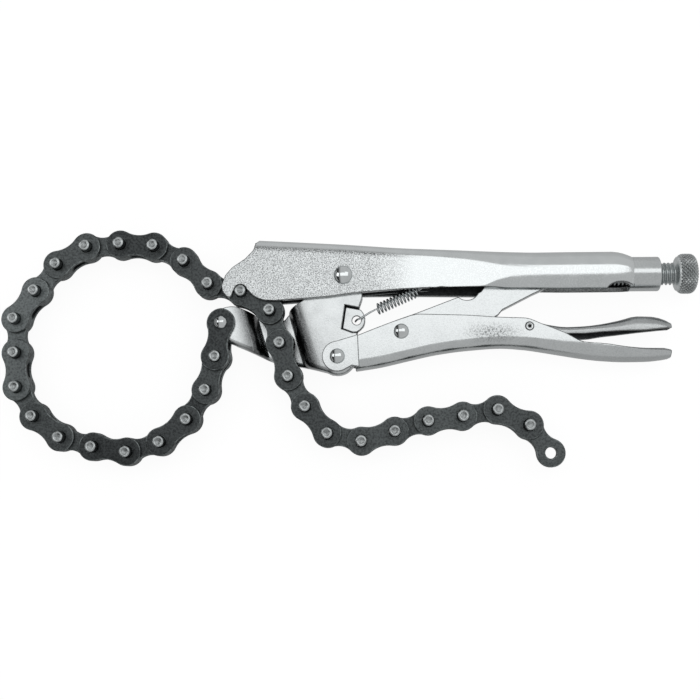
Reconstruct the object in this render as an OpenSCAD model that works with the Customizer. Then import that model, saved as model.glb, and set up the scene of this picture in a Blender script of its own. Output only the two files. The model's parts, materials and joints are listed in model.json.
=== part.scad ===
// Locking chain clamp, lying on its side: a toggle plier whose jaw and hook close a loop of plate chain.
// Places are given from the main pivot: x runs to the knob, y from the lower handle to the upper one.
// The middle plane of the tool and of the chain is z = 0 until the whole is set down on its rest plane.

/* [Chain] */
// Distance between neighbouring chain pins
pitch = 15.875; // [14:0.025:18]
// Diameter of a plate's round end
plate_head = 13.1; // [12:0.1:14.5]
// Thickness of one chain plate
plate_thick = 2; // [1.6:0.1:2.1]
// Width of an outer plate's waist
outer_waist = 9.6; // [8:0.1:11]
// Width of an inner plate's waist
inner_waist = 8.4; // [7:0.1:10]
// Diameter of the chain pins
pin_dia = 5.08; // [4.5:0.02:5.4]
// Length of the chain pins, which the hook catches on both sides
pin_length = 17.2; // [16.4:0.1:17.6]
// Diameter of the anchor rivet's round heads
anchor_head = 6.6; // [5.8:0.1:8]

/* [Upper handle] */
// Thickness of the handle sheets
sheet = 2.5; // [2:0.1:2.6]
// Width between the upper handle's walls
throat = 8.9; // [8.8:0.05:10]
// Half width of the rear grip tube
grip_half = 8.75; // [8:0.05:10]
// Outer diameter of the screw collar
collar_dia = 15.8; // [15:0.1:17]
// Diameter of the main rivet's heads
main_head = 8.6; // [7.5:0.1:10]

/* [Screw] */
// Outer diameter of the screw thread
screw_dia = 10.5; // [9.5:0.1:10.6]
// Thread pitch
thread_pitch = 1.8143; // [1.5:0.0001:2]
// Diameter of the knob
knob_dia = 18.4; // [16:0.1:20]
// Length of the knob
knob_length = 10.6; // [9:0.1:13]
// Number of knurls round the knob
knurls = 40; // [24:1:60]

/* [Lower jaw] */
// Thickness of the folded jaw
jaw_thick = 8.2; // [7.6:0.1:8.4]
// Thickness of the jaw's sheet
jaw_sheet = 2.4; // [2:0.1:2.8]
// Depth of the valley floor under the middle plane
valley_depth = 9.2; // [9:0.1:10.5]
// Thickness of the valley floor
valley_floor = 2.8; // [2.4:0.1:3.6]
// Diameter of the hole in the spring tab
tab_hole = 3.2; // [2.8:0.1:3.6]

/* [Lower handle] */
// Half width of the lower handle at its front
handle_half = 6.3; // [6.1:0.05:6.6]
// Half width of the lower handle at its tail
tail_half = 7.6; // [6.6:0.05:8.5]
// Outer radius of the ears round the jaw rivet
ear_radius = 7; // [6:0.1:7.5]
// Diameter of the jaw and toggle rivets' heads
small_head = 7; // [6:0.1:8]

/* [Toggle and release lever] */
// Thickness of the toggle link
toggle_thick = 7.2; // [6:0.1:7.4]
// Wall of the toggle link's channel
toggle_wall = 2; // [1.6:0.1:2.4]
// Half width of the release lever in the lower handle
lever_half = 3.6; // [3:0.05:3.75]
// Half width of the release lever's thumb end
thumb_half = 5.4; // [4.4:0.05:6.5]
// Sheet thickness of the release lever
lever_sheet = 1.6; // [1.2:0.1:2]
// Diameter of the release lever's pin
lever_pin_dia = 3.6; // [3:0.1:4.2]

/* [Spring] */
// Outer diameter of the spring's coil
spring_dia = 5.5; // [4.8:0.1:6]
// Diameter of the spring wire
spring_wire = 0.9; // [0.7:0.05:1]
// Number of curls
curls = 14; // [12:1:18]

/* [Fits] */
// Radial clearance of a turning pivot
running_gap = 0.08; // [0.05:0.01:0.1]
// Radial gap round a pin that stays still in its hole
seat_gap = 0.02; // [0.01:0.005:0.03]
// Gap between neighbouring layers of chain plates
layer_gap = 0.1; // [0.1:0.01:0.15]
// Room round the caught pin in the hook
hook_gap = 0.4; // [0.3:0.05:0.6]
// Room between the toggle link's end and the screw's nose
toggle_gap = 1.8; // [1.7:0.1:2.4]
// Radial room round the screw in its collar
screw_gap = 0.3; // [0.2:0.05:0.45]

/* [Hidden] */
$fn = 64;
link_count = 31;
anchor_at = 1;
hook_at = 20;
function link_name(k) = str("chain_link_", k < 10 ? "0" : "", k);

// Pivots: the jaw on the lower handle, the toggle on the lower handle, the toggle's end, the release lever
jaw_pivot = [-2.7, -37.4];
toggle_pivot = [26.5, -26.1];
toggle_end = [105.3, 2.8];
lever_pivot = [84.7, -24.1];
screw_axis = 0.5;
hook_pin = [-47.3, -7];

// How the chain lies: the heading of each link from its pin to the next, in degrees
headings = [
    -99.5, -106, -122.5, -140, -163.5, -188.5, -196, -217.5, -238.5, -266.5, -267.5, -305, -308.5,
    -328.5, -356, -364, -386.5, -403.5, -374, -393.5, -432.5, -435.5, -420.5, -410.5, -373, -343.5,
    -343, -352.5, -349.5, -386.5, -412];
function heading(k) = headings[k - 1];
function step(k) = pitch * [cos(heading(k)), sin(heading(k))];
function sum_steps(a, b) = a > b ? [0, 0] : step(a) + sum_steps(a + 1, b);
function pin_at(k) = k < hook_at ? hook_pin - sum_steps(k, hook_at - 1)
    : hook_pin + sum_steps(hook_at, k - 1);
pins = [for (k = [1:link_count + 1]) pin_at(k)];
anchor = pins[0];

// Layers of the chain, out from the middle plane
pin_r = pin_dia / 2;
head_r = plate_head / 2;
inner_z = layer_gap / 2;
outer_z = inner_z + plate_thick + layer_gap;
anchor_z = outer_z + plate_thick + 1.5 * layer_gap;

// The screw and the rear of the upper handle
collar_front = 134;
collar_length = 12;
collar_rear = collar_front + collar_length;
bare_thread = 6.7;
knob_front = collar_rear + bare_thread;
knob_rear = knob_front + knob_length;
tip_r = 3.2;
nose_front = toggle_end[0] + tip_r + toggle_gap;
nose_length = 4;

// Rest plane and middle of the whole, so that it stands on z = 0 round its own centre
x_low = min([for (p = pins) p[0]]) - head_r;
y_low = min([for (p = pins) p[1]]) - head_r;
y_high = max([for (p = pins) p[1]]) + head_r;
rest = [-(x_low + knob_rear) / 2, -(y_low + y_high) / 2, valley_depth + valley_floor];
jaw_half = jaw_thick / 2;
upper_half = throat / 2 + sheet;
ear_gap = 0.2;
ear_inner = jaw_half + ear_gap;
ear_outer = ear_inner + sheet;

echo(rest = rest);
echo(pins = pins);

module set_down() {
    translate(rest) children();
}

// Sheet channel with a closed crown
// Stations hold x, half width, crown, edge, crown radius, edge radius and the edge's curl in degrees
bend_steps = 6;
curl_steps = 3;
function half_section(s, depth) = let (w = s[1], top = s[2], edge = s[3], rt = s[4], rb = s[5], curl = s[6])
    concat(
        [for (i = [0:curl_steps]) let (a = curl * (i / curl_steps - 1))
            [w - rb + (rb - depth) * cos(a), edge + rb * sin(curl) + (rb - depth) * sin(a)]],
        [for (i = [0:bend_steps]) let (a = 90 * i / bend_steps)
            [w - rt + (rt - depth) * cos(a), top - rt + (rt - depth) * sin(a)]]);
function backwards(list) = [for (i = [len(list) - 1:-1:0]) list[i]];
function section(s, wall) = let (skin = half_section(s, 0), core = half_section(s, wall))
    concat(
        [for (p = skin) [s[0], p[1], p[0]]],
        [for (p = backwards(skin)) [s[0], p[1], -p[0]]],
        [for (p = core) [s[0], p[1], -p[0]]],
        [for (p = backwards(core)) [s[0], p[1], p[0]]]);
module channel(stations, wall) {
    rings = [for (s = stations) section(s, wall)];
    n = len(rings[0]);
    last = (len(rings) - 1) * n;
    sides = [for (j = [0:len(rings) - 2], i = [0:n - 1]) let (a = j * n + i, b = j * n + (i + 1) % n)
        each [[a, b, b + n], [a, b + n, a + n]]];
    caps = [for (i = [0:n / 2 - 2]) let (a = i, b = i + 1, c = n - 2 - i, d = n - 1 - i)
        each [[a, d, c], [a, c, b], [last + a, last + b, last + c], [last + a, last + c, last + d]]];
    polyhedron(points = [for (r = rings) each r], faces = concat(sides, caps));
}

// Round-headed rivet along z, between two outer faces
dome_steps = 6;
module rivet(shank_r, grip_z, head_d, head_h) {
    dome = [for (i = [0:dome_steps]) let (a = 90 * i / dome_steps)
        [head_d / 2 * cos(a), grip_z + head_h * sin(a)]];
    upper = concat([[shank_r, grip_z]], dome);
    lower = [for (p = backwards(upper)) [p[0], -p[1]]];
    rotate_extrude() polygon(concat(upper, lower));
}

module bore(at, r) {
    translate([at[0], at[1], -50]) cylinder(r = r, h = 100);
}

// Both walls of a shape: z from lo to hi on the near side, and the mirror image on the far side
module both_walls(lo, hi) {
    for (side = [0, 1]) mirror([0, 0, side]) translate([0, 0, lo]) linear_extrude(hi - lo) children();
}

// Upper handle: folded channel, cut to the hook's outline at the front and drawn into a tube at the rear
main_r = 3;
front_edge = -14;
upper_stations = [
    [-58, upper_half, 18.1, front_edge, 3.9, 3, 4],
    [0, upper_half, 14.8, front_edge, 3.9, 3, 4],
    [30, upper_half, 12.7, front_edge, 4, 3, 4],
    [40, upper_half, 12.3, -6.1, 4.2, 3, 5],
    [52, upper_half + 0.4, 11.8, -6, 5, 3.6, 12],
    [64, upper_half + 1, 11.4, -6, 6.4, 5, 26],
    [76, grip_half - 0.3, 11, -6.5, 7.8, 6.6, 40],
    [88, grip_half, 10.8, -6.9, 8.5, 7.8, 48],
    [104, grip_half, 10.8, -7.2, 8.6, 8.2, 56],
    [122, grip_half, 10.7, -7.2, 8.6, 8.2, 58],
    [128, grip_half - 0.4, 9.7, -7.3, 8.2, 7.9, 68],
    [collar_front, collar_dia / 2, screw_axis + collar_dia / 2, screw_axis - collar_dia / 2, 7.6, 7.6, 84]];
upper_outline = [
    [-38.5, 24], [-39.2, 16.4], [-40.5, 15.4], [-41.5, 12], [-45.3, 8], [-51.1, 4.1], [-54.3, 0.5],
    [-56.1, -4.4], [-55.5, -7.4], [-53.2, -10], [-51.6, -10], [-50.4, -6.4], [-44.2, -6.4], [-42.3, -8.5],
    [-40, -10.3], [-36.3, -11.5], [-30.6, -11.7], [-18.9, -10.9], [-7.1, -10], [4.6, -8.5], [26.2, -6.8],
    [40, -6.2], [41, -20], [160, -20], [160, 24]];
lug_at = [49.5, -2.6];
lug_top = 10.2;
lug_width = 4;
lug_thick = 2;
module upper_handle() set_down() color("gainsboro") {
    difference() {
        intersection() {
            channel(upper_stations, sheet);
            translate([0, 0, -30]) linear_extrude(60) polygon(upper_outline);
        }
        bore([0, 0], main_r + seat_gap);
        bore(hook_pin, pin_r + hook_gap);
    }
    difference() {
        translate([lug_at[0] - lug_width / 2, lug_at[1] - lug_width / 2, -lug_thick / 2])
            cube([lug_width, lug_top - lug_at[1] + lug_width / 2, lug_thick]);
        bore(lug_at, spring_wire);
    }
}

// Screw collar on the end of the upper handle's tube
module along_x(x, y) {
    translate([x, y, 0]) rotate([90, 0, 90]) children();
}
module screw_collar() set_down() color("silver") {
    difference() {
        along_x(collar_front, screw_axis) cylinder(d = collar_dia, h = collar_length);
        along_x(collar_front - 1, screw_axis) cylinder(d = screw_dia + 2 * screw_gap, h = collar_length + 2);
    }
}

// Adjusting screw: ridged shank and a knurled, domed knob
thread_depth = 0.9;
shank_front = nose_front + nose_length + 0.1;
ridges = floor((knob_front - shank_front) / thread_pitch);
knurl_depth = 0.5;
module adjusting_screw() set_down() color("silver") {
    ridge_profile = [for (i = [0:ridges - 1]) let (z = i * thread_pitch)
        each [[screw_dia / 2 - thread_depth, z], [screw_dia / 2, z + thread_pitch / 2]]];
    shank_length = knob_front - shank_front;
    along_x(shank_front, screw_axis) rotate_extrude()
        polygon(concat([[0, 0]], ridge_profile,
            [[screw_dia / 2 - thread_depth, ridges * thread_pitch],
             [screw_dia / 2 - thread_depth, shank_length + 1], [0, shank_length + 1]]));
    along_x(knob_front, screw_axis) intersection() {
        knob_form();
        linear_extrude(knob_length + 1) polygon([for (i = [0:2 * knurls - 1]) let (a = 180 * i / knurls)
            (knob_dia / 2 - (i % 2) * knurl_depth) * [cos(a), sin(a)]]);
    }
}
module knob_form() {
    edge = 0.8;
    crown = 3;
    r = knob_dia / 2 + 0.01;
    rotate_extrude() polygon(concat(
        [[0, 0], [r - edge, 0], [r, edge]],
        [for (i = [0:dome_steps]) let (a = 90 * i / dome_steps)
            [r - crown + crown * cos(a), knob_length - crown + crown * sin(a)]],
        [[0, knob_length]]));
}

// Plain nose of the screw, which turns on its own axis only
module screw_nose() set_down() color("silver") {
    along_x(nose_front, screw_axis) cylinder(d = screw_dia - 2 * thread_depth, h = nose_length);
}

// Lower jaw: folded sheet whose arm dips into a valley behind the chain's tail and rises to the anchor
valley_at = pins[hook_at + 1];
valley_turn = heading(hook_at + 1) + 450 - 1.5;
valley_left = [-13.6, -6.6];
valley_right = [7.7, 15.5];
slope_steps = 8;
function ease(u, span) = u <= span[0] ? 0 : u >= span[1] ? 1
    : (1 - cos(180 * (u - span[0]) / (span[1] - span[0]))) / 2;
function dip(u, grow) = ease(u, valley_left - [grow, grow]) - ease(u, valley_right + [grow, grow]);
function slope_points(span) = [for (i = [0:slope_steps]) span[0] + (span[1] - span[0]) * i / slope_steps];
function ramp(grow) = concat([-60], slope_points(valley_left - [grow, grow]),
    slope_points(valley_right + [grow, grow]), [70]);
wall_shift = 1.8;
near_line = [for (u = ramp(0)) [u, jaw_half - (jaw_half + valley_depth) * dip(u, 0)]];
far_line = [for (u = ramp(wall_shift))
    [u, -jaw_half - (valley_depth + valley_floor - jaw_half) * dip(u, wall_shift)]];
cavity_half = jaw_half - jaw_sheet;
cavity_left = valley_left[0] - 3;
cavity_right = valley_right[1] + 3;
tip_radius = 7;
boss_radius = 8.4;
jaw_crown = 8.7;
jaw_outline = [
    anchor + [0, 7], anchor + [3.4, 7.8], anchor + [6.6, 7.8], anchor + [9.6, 6.5], anchor + [15.6, 4.4],
    [-36, -19.6], [-28, -20.2], [-25.3, -17.6],
    [-21.2, -14.4], [-17.1, -11.5], [-8, 3], [7, 5], [jaw_crown, 0], [jaw_crown, -10.3], [7.3, -13.8],
    [6, -30], [5, -38], jaw_pivot + [0, -8.3], [-8.9, -44], [-17.4, -41.4], [-33.5, -38.6],
    anchor + [13.2, -13], anchor + [4.7, -9.6], anchor + [-2.5, -6.5]];
tab_at = [6, -20.4];
tab_radius = 6.3;
tab_outline = [[1, -14.1], [-0.5, -24.2], [4.1, -25.9], [12, -25.9], [12, -16.2]];
tab_press = 1.4;
jaw_bore = 2.5;
module jaw_side() {
    polygon(jaw_outline);
    translate(anchor) circle(r = tip_radius);
    circle(r = jaw_crown);
    translate(jaw_pivot) circle(r = boss_radius);
    translate(tab_at - [2.4, -0.4]) circle(r = tab_radius);
}
module across_valley(height) {
    translate(valley_at) rotate([90, 0, valley_turn]) linear_extrude(height, center = true) children();
}
module tab_side() {
    intersection() {
        polygon(tab_outline);
        jaw_side();
    }
}
module lower_jaw() set_down() color("silver") {
    difference() {
        union() {
            difference() {
                intersection() {
                    across_valley(160) polygon(concat(near_line, backwards(far_line)));
                    translate([0, 0, -30]) linear_extrude(60) jaw_side();
                }
                intersection() {
                    translate([0, jaw_sheet, -cavity_half]) linear_extrude(2 * cavity_half) jaw_side();
                    across_valley(160) {
                        translate([-80, -20]) square([80 + cavity_left, 40]);
                        translate([cavity_right, -20]) square([80, 40]);
                    }
                }
                translate([0, 0, jaw_half - tab_press]) linear_extrude(10) polygon(tab_outline);
            }
            translate([0, 0, cavity_half - tab_press]) linear_extrude(tab_press + 0.2) tab_side();
        }
        translate([tab_at[0], tab_at[1], 0]) cylinder(d = tab_hole, h = 10);
        bore([0, 0], main_r + running_gap);
        bore(jaw_pivot, jaw_bore + running_gap);
        bore(anchor, pin_r + seat_gap);
    }
}

// Lower handle: folded channel, closed along the bottom, with two flat ears round the jaw
lower_wall = 2.2;
lower_stations = [
    [7.2, handle_half, 43.8, 27.3, 5, 3, 4],
    [16, handle_half, 42.3, 23.8, 5, 3, 4],
    [28, handle_half, 39.6, 19.5, 5, 3, 4],
    [34, handle_half, 38.2, 17.9, 5, 3, 4],
    [42, handle_half, 36.5, 18.1, 5, 3, 4],
    [56, handle_half, 34.6, 18.5, 5, 3, 4],
    [72, handle_half, 33.6, 19.6, 5, 3, 4],
    [83, handle_half + 0.1, 34.4, 20, 5, 3, 4],
    [90, handle_half + 0.2, 35.5, 22.2, 5, 3, 4],
    [101, handle_half + 0.4, 37.4, 26.6, 4.6, 2.9, 4],
    [109, tail_half - 0.6, 38.7, 30.9, 4, 2.8, 4],
    [118, tail_half - 0.2, 39.7, 32, 3.4, 2.7, 4],
    [128, tail_half, 40.2, 33.6, 3, 2.6, 4],
    [137, tail_half, 40.1, 34.6, 2.8, 2.5, 4],
    [145, tail_half - 0.1, 39.3, 34.8, 2.6, 2.5, 4],
    [148.3, tail_half - 0.9, 38.6, 35.6, 2.6, 2.5, 4]];
ear_outline = [
    [-2.7, -30.4], [7, -27.3], [9.2, -26.4], [9.2, -42.6], [7.4, -42.2], [4, -41.6], [-2.7, -44.4]];
small_r = 2.5;
module lower_handle() set_down() color("silver") {
    difference() {
        union() {
            mirror([0, 1, 0]) channel(lower_stations, lower_wall);
            both_walls(ear_inner, ear_outer) {
                polygon(ear_outline);
                translate(jaw_pivot) circle(r = ear_radius);
            }
        }
        bore(jaw_pivot, small_r + seat_gap);
        bore(toggle_pivot, small_r + seat_gap);
        bore(lever_pivot, lever_pin_dia / 2 + seat_gap);
    }
}

// Toggle link: channel open at the top, solid at its round end
toggle_outline = [
    [24.5, -20.3], [33.6, -17.7], [53.1, -10.7], [60.6, -9], [63.2, -7.6], [69, 0.6], [102, 5.8],
    [106, 0], [86.7, -9], [72.9, -16.1], [71, -18.4], [66, -21.6], [50, -26.6], [29, -31.6]];
toggle_boss = 6;
notch_at = [57, -10.2];
notch_r = 2.8;
channel_from = 34;
channel_to = 96;
module toggle_link() set_down() color("silver") {
    difference() {
        translate([0, 0, -toggle_thick / 2]) union() {
            linear_extrude(toggle_thick) polygon(toggle_outline);
            translate(toggle_pivot) cylinder(r = toggle_boss, h = toggle_thick);
            translate(toggle_end) cylinder(r = tip_r, h = toggle_thick);
        }
        intersection() {
            translate([-0.4 * toggle_wall, toggle_wall, toggle_wall - toggle_thick / 2])
                linear_extrude(toggle_thick - 2 * toggle_wall) polygon(toggle_outline);
            translate([channel_from, -40, -20]) cube([channel_to - channel_from, 60, 40]);
        }
        bore(notch_at, notch_r);
        bore(toggle_pivot, small_r + running_gap);
    }
}

// Release lever: curved channel, closed along the top, with a broad thumb end
lever_stations = [
    [70, lever_half, -22.6, -25.6, 2, 1.9, 4],
    [77, lever_half, -21.2, -27.4, 2, 1.9, 4],
    [85, lever_half, -20.9, -28.2, 2, 1.9, 4],
    [93, lever_half, -23.4, -28.6, 2, 1.9, 4],
    [102, lever_half, -24.1, -29.4, 2, 1.9, 4],
    [110, lever_half, -23.8, -29.6, 2, 1.9, 4],
    [118, lever_half + 0.3, -22.8, -28.5, 2.2, 1.9, 4],
    [126, thumb_half - 0.4, -21.2, -27.5, 2.4, 1.9, 4],
    [134, thumb_half, -19.3, -26.5, 2.6, 1.9, 4],
    [141, thumb_half, -19.5, -25.8, 2.6, 1.9, 4],
    [146.4, thumb_half - 0.2, -21.2, -25.3, 2.2, 1.9, 4],
    [149.1, thumb_half - 0.9, -22.9, -25.2, 1.9, 1.7, 4]];
module release_lever() set_down() color("silver") {
    difference() {
        channel(lever_stations, lever_sheet);
        bore(lever_pivot, lever_pin_dia / 2 + running_gap);
    }
}

// Rivets and pins
rivet_lift = 0.05;
main_dome = 1.7;
small_dome = 1.5;
anchor_dome = 2.2;
pin_proud = 0.5;
dimple_dia = 1.2;
dimple_depth = 0.6;
module main_rivet() set_down() color("whitesmoke") {
    rivet(main_r, upper_half + rivet_lift, main_head, main_dome);
}
module jaw_rivet() set_down() color("whitesmoke") {
    translate(jaw_pivot) rivet(small_r, ear_outer + rivet_lift, small_head, small_dome);
}
module toggle_rivet() set_down() color("whitesmoke") {
    translate(toggle_pivot) rivet(small_r, handle_half + rivet_lift, small_head, small_dome);
}
module lever_pin() set_down() color("whitesmoke") {
    half = handle_half + pin_proud;
    translate(lever_pivot) difference() {
        translate([0, 0, -half]) cylinder(d = lever_pin_dia, h = 2 * half);
        for (side = [0, 1]) mirror([0, 0, side]) translate([0, 0, half - dimple_depth])
            cylinder(d = dimple_dia, h = 2 * dimple_depth);
    }
}
module anchor_rivet() set_down() color("dimgray") {
    translate(anchor) rivet(pin_r, anchor_z + plate_thick + rivet_lift, anchor_head, anchor_dome);
}

// Jaw spring: one tube through the tab's hole, along a straight leg, round the coil and to the lug
coil_from = [15.4, -15.3, 0.9];
coil_to = [34.8, -6.6, 0.4];
rings_per_curl = 8;
tube_sides = 6;
coil_r = (spring_dia - spring_wire) / 2;
coil_axis = coil_to - coil_from;
coil_turn = atan2(coil_axis[1], coil_axis[0]);
function unit(v) = v / norm(v);
function coil_point(i) = let (a = 360 * i / rings_per_curl + 90, n = curls * rings_per_curl)
    coil_from + coil_axis * i / n
    + coil_r * (sin(a) * [0, 0, 1] + cos(a) * [-sin(coil_turn), cos(coil_turn), 0]);
hook_points = [
    [tab_at[0] - 0.6, tab_at[1] - 0.2, -0.9], [tab_at[0] - 0.5, tab_at[1] - 0.2, 0.6],
    [tab_at[0] - 0.1, tab_at[1], 2.2], [tab_at[0] + 0.9, tab_at[1] + 0.4, 3.25],
    [tab_at[0] + 2.4, tab_at[1] + 1, 3.55], [12, -17.1, 3.45]];
lug_points = [[36.4, -5.4, 2], [38.2, -4.6, 1.7], [47.6, lug_at[1], 1.7], [lug_at[0] - 0.1, lug_at[1], 1.2],
    [lug_at[0], lug_at[1], 0], [lug_at[0], lug_at[1], -1.6]];
spring_path = concat(hook_points, [for (i = [0:curls * rings_per_curl]) coil_point(i)], lug_points);
function tangent(i) = let (last = len(spring_path) - 1)
    unit(spring_path[min(i + 1, last)] - spring_path[max(i - 1, 0)]);
function tube_ring(i) = let (t = tangent(i), s = unit(cross(t, unit([0.31, 0.83, 0.47]))), u = cross(s, t))
    [for (j = [0:tube_sides - 1]) let (a = 360 * j / tube_sides)
        spring_path[i] + spring_wire / 2 * (cos(a) * s + sin(a) * u)];
self_gap = min([for (i = [0:len(spring_path) - 1], j = [i + 5:1:len(spring_path) - 1])
    norm(spring_path[i] - spring_path[j])]) - spring_wire;
echo(spring_self_gap = self_gap);
module jaw_spring() set_down() color("gray") {
    n = len(spring_path);
    sides = [for (i = [0:n - 2], j = [0:tube_sides - 1])
        let (a = i * tube_sides + j, b = i * tube_sides + (j + 1) % tube_sides)
        each [[a, b, b + tube_sides], [a, b + tube_sides, a + tube_sides]]];
    ends = [for (j = [1:tube_sides - 2]) let (last = (n - 1) * tube_sides)
        each [[0, j + 1, j], [last, last + j, last + j + 1]]];
    polyhedron(points = [for (i = [0:n - 1]) each tube_ring(i)], faces = concat(sides, ends));
}

// Chain plates: two round ends joined by a hollow waist
module plate_side(waist, bore_r) {
    hollow = 1.1 * (pow(pitch / 2, 2) + pow(waist / 2, 2) - pow(head_r, 2)) / (plate_head - waist);
    reach = norm([pitch / 2, waist / 2 + hollow]);
    along = (reach * reach + head_r * head_r - hollow * hollow) / (2 * reach);
    top = along * (waist / 2 + hollow) / reach;
    difference() {
        union() {
            circle(r = head_r);
            translate([pitch, 0]) circle(r = head_r);
            difference() {
                translate([0, -top]) square([pitch, 2 * top]);
                for (side = [-1, 1]) translate([pitch / 2, side * (waist / 2 + hollow)]) circle(r = hollow);
            }
        }
        circle(r = bore_r);
        translate([pitch, 0]) circle(r = bore_r);
    }
}
module on_link(k) {
    translate(pins[k - 1]) rotate(heading(k)) children();
}
pin_chamfer = 0.5;
module chain_pin() {
    half = pin_length / 2;
    rotate_extrude() polygon([[0, -half], [pin_r - pin_chamfer, -half], [pin_r, pin_chamfer - half],
        [pin_r, half - pin_chamfer], [pin_r - pin_chamfer, half], [0, half]]);
}
module anchor_link() set_down() color("dimgray") {
    on_link(anchor_at) both_walls(anchor_z, anchor_z + plate_thick)
        plate_side(outer_waist, pin_r + running_gap);
}
module outer_link(k) {
    on_link(k) {
        both_walls(outer_z, outer_z + plate_thick) plate_side(outer_waist, pin_r + seat_gap);
        for (x = [0, pitch]) translate([x, 0, 0]) chain_pin();
    }
}
module inner_link(k) {
    on_link(k) both_walls(inner_z, inner_z + plate_thick) plate_side(inner_waist, pin_r + running_gap);
}
module chain_link(k) set_down() color("dimgray") {
    if (k % 2 == 0) outer_link(k);
    else inner_link(k);
}

upper_handle();
screw_collar();
screw_nose();
adjusting_screw();
lower_jaw();
lower_handle();
toggle_link();
release_lever();
jaw_spring();
main_rivet();
jaw_rivet();
toggle_rivet();
lever_pin();
anchor_rivet();
anchor_link();
for (k = [2:link_count]) chain_link(k);
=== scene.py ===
"""Locking chain clamp: the dressed model on a white studio floor."""
import json
import math

import bmesh
import bpy
from bpy.props import FloatProperty, FloatVectorProperty, IntProperty, PointerProperty
from mathutils import Matrix, Vector


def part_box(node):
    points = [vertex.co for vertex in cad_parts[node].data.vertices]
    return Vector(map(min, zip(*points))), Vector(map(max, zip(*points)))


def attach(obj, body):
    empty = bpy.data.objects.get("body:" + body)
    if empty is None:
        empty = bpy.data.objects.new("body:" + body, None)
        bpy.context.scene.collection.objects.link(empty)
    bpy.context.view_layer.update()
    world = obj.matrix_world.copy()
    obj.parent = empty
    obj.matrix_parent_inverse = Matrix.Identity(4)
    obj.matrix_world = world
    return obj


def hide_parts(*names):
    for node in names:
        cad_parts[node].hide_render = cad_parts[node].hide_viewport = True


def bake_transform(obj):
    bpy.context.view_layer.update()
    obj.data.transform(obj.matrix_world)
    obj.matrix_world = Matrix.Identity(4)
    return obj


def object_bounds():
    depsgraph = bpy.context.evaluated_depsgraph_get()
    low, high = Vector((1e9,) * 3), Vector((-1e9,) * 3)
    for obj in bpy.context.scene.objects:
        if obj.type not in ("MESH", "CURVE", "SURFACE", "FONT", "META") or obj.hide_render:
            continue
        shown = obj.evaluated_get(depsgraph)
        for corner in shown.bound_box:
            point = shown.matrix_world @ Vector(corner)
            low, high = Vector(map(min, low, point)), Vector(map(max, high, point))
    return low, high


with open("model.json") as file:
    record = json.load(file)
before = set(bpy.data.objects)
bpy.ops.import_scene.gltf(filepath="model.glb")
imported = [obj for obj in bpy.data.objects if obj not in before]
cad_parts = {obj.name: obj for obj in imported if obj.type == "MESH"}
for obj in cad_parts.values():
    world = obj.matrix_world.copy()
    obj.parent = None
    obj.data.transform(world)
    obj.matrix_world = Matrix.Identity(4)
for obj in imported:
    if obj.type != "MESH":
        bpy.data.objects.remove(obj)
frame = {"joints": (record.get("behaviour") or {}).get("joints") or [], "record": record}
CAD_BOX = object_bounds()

bl_info = {
    "name": "Locking Chain Clamp",
    "version": (1, 0, 0),
    "blender": (4, 5, 0),
    "location": "View3D > Sidebar > Chain Clamp",
    "description": "Builds the dressed chain clamp on its frame, with materials and a studio stage",
    "category": "Object",
}

MM = 0.001
LINKS = 31
LOOP = 20  # links 1 to 20 make the loop, and the next one lies in the jaw's valley


def middle(node):
    """The middle of a CAD node's box, in metres."""
    low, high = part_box(node)
    return (Vector(low) + Vector(high)) / 2


# The tool's own frame is in millimetres, from the main rivet's middle
TOOL = middle("main_rivet")


def chain_pins():
    """The chain's pin axes in tool millimetres: one for each chain joint, and the open eye at the end."""
    joints = {j["name"]: j for j in frame["joints"]}
    pins = [Vector(joints["chain_joint_%02d" % k]["pos_m"]) for k in range(1, LINKS + 1)]
    mounts = {m["name"]: Vector(m["pos_m"]) for m in frame["record"]["mounts"]}
    pins.append(mounts["chain_end_eye"])
    return [(p - TOOL) / MM for p in pins]


PINS = chain_pins()
ANCHOR = PINS[0]
JAW_PIVOT = (middle("jaw_rivet") - TOOL) / MM
TOGGLE_PIVOT = (middle("toggle_rivet") - TOOL) / MM
LEVER_PIVOT = (middle("lever_pin") - TOOL) / MM
# The spring's two holes, in the jaw's tab and in the upper handle's lug
TAB = Vector((6, -20.4, 0))
LUG = Vector((49.5, -2.6, 0))

# Material numbers of a chain link, and of a folded sheet piece, which has the same edge number; a link's rounded edge
# is rubbed lighter oxide, while a sheet's rounded cut edge and its dark inside are painted shade
OXIDE, PIN, EDGE, DISH = range(4)
SKIN, INSIDE = range(2)


class ChainSizes(bpy.types.PropertyGroup):
    """Sizes of the chain"""
    pitch: FloatProperty(
        name="Pitch", description="Distance between two pins", unit="LENGTH", default=15.875 * MM)
    head: FloatProperty(
        name="Head", description="Width of a plate's round end", unit="LENGTH", default=13.1 * MM)
    outer_waist: FloatProperty(
        name="Outer waist", description="Waist of an outer plate", unit="LENGTH", default=9.6 * MM)
    inner_waist: FloatProperty(
        name="Inner waist", description="Waist of an inner plate", unit="LENGTH", default=8.4 * MM)
    plate: FloatProperty(
        name="Plate", description="Thickness of a plate", unit="LENGTH", default=2.0 * MM)
    gap: FloatProperty(
        name="Gap", description="Gap between two layers of plates", unit="LENGTH", default=0.1 * MM)
    pin: FloatProperty(
        name="Pin", description="Diameter of a pin", unit="LENGTH", default=5.08 * MM)
    pin_length: FloatProperty(
        name="Pin length", description="Length of a pin", unit="LENGTH", default=17.2 * MM)
    rounding: FloatProperty(
        name="Rounding", description="Rounding of the plates' edges", unit="LENGTH", default=0.45 * MM)


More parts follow.
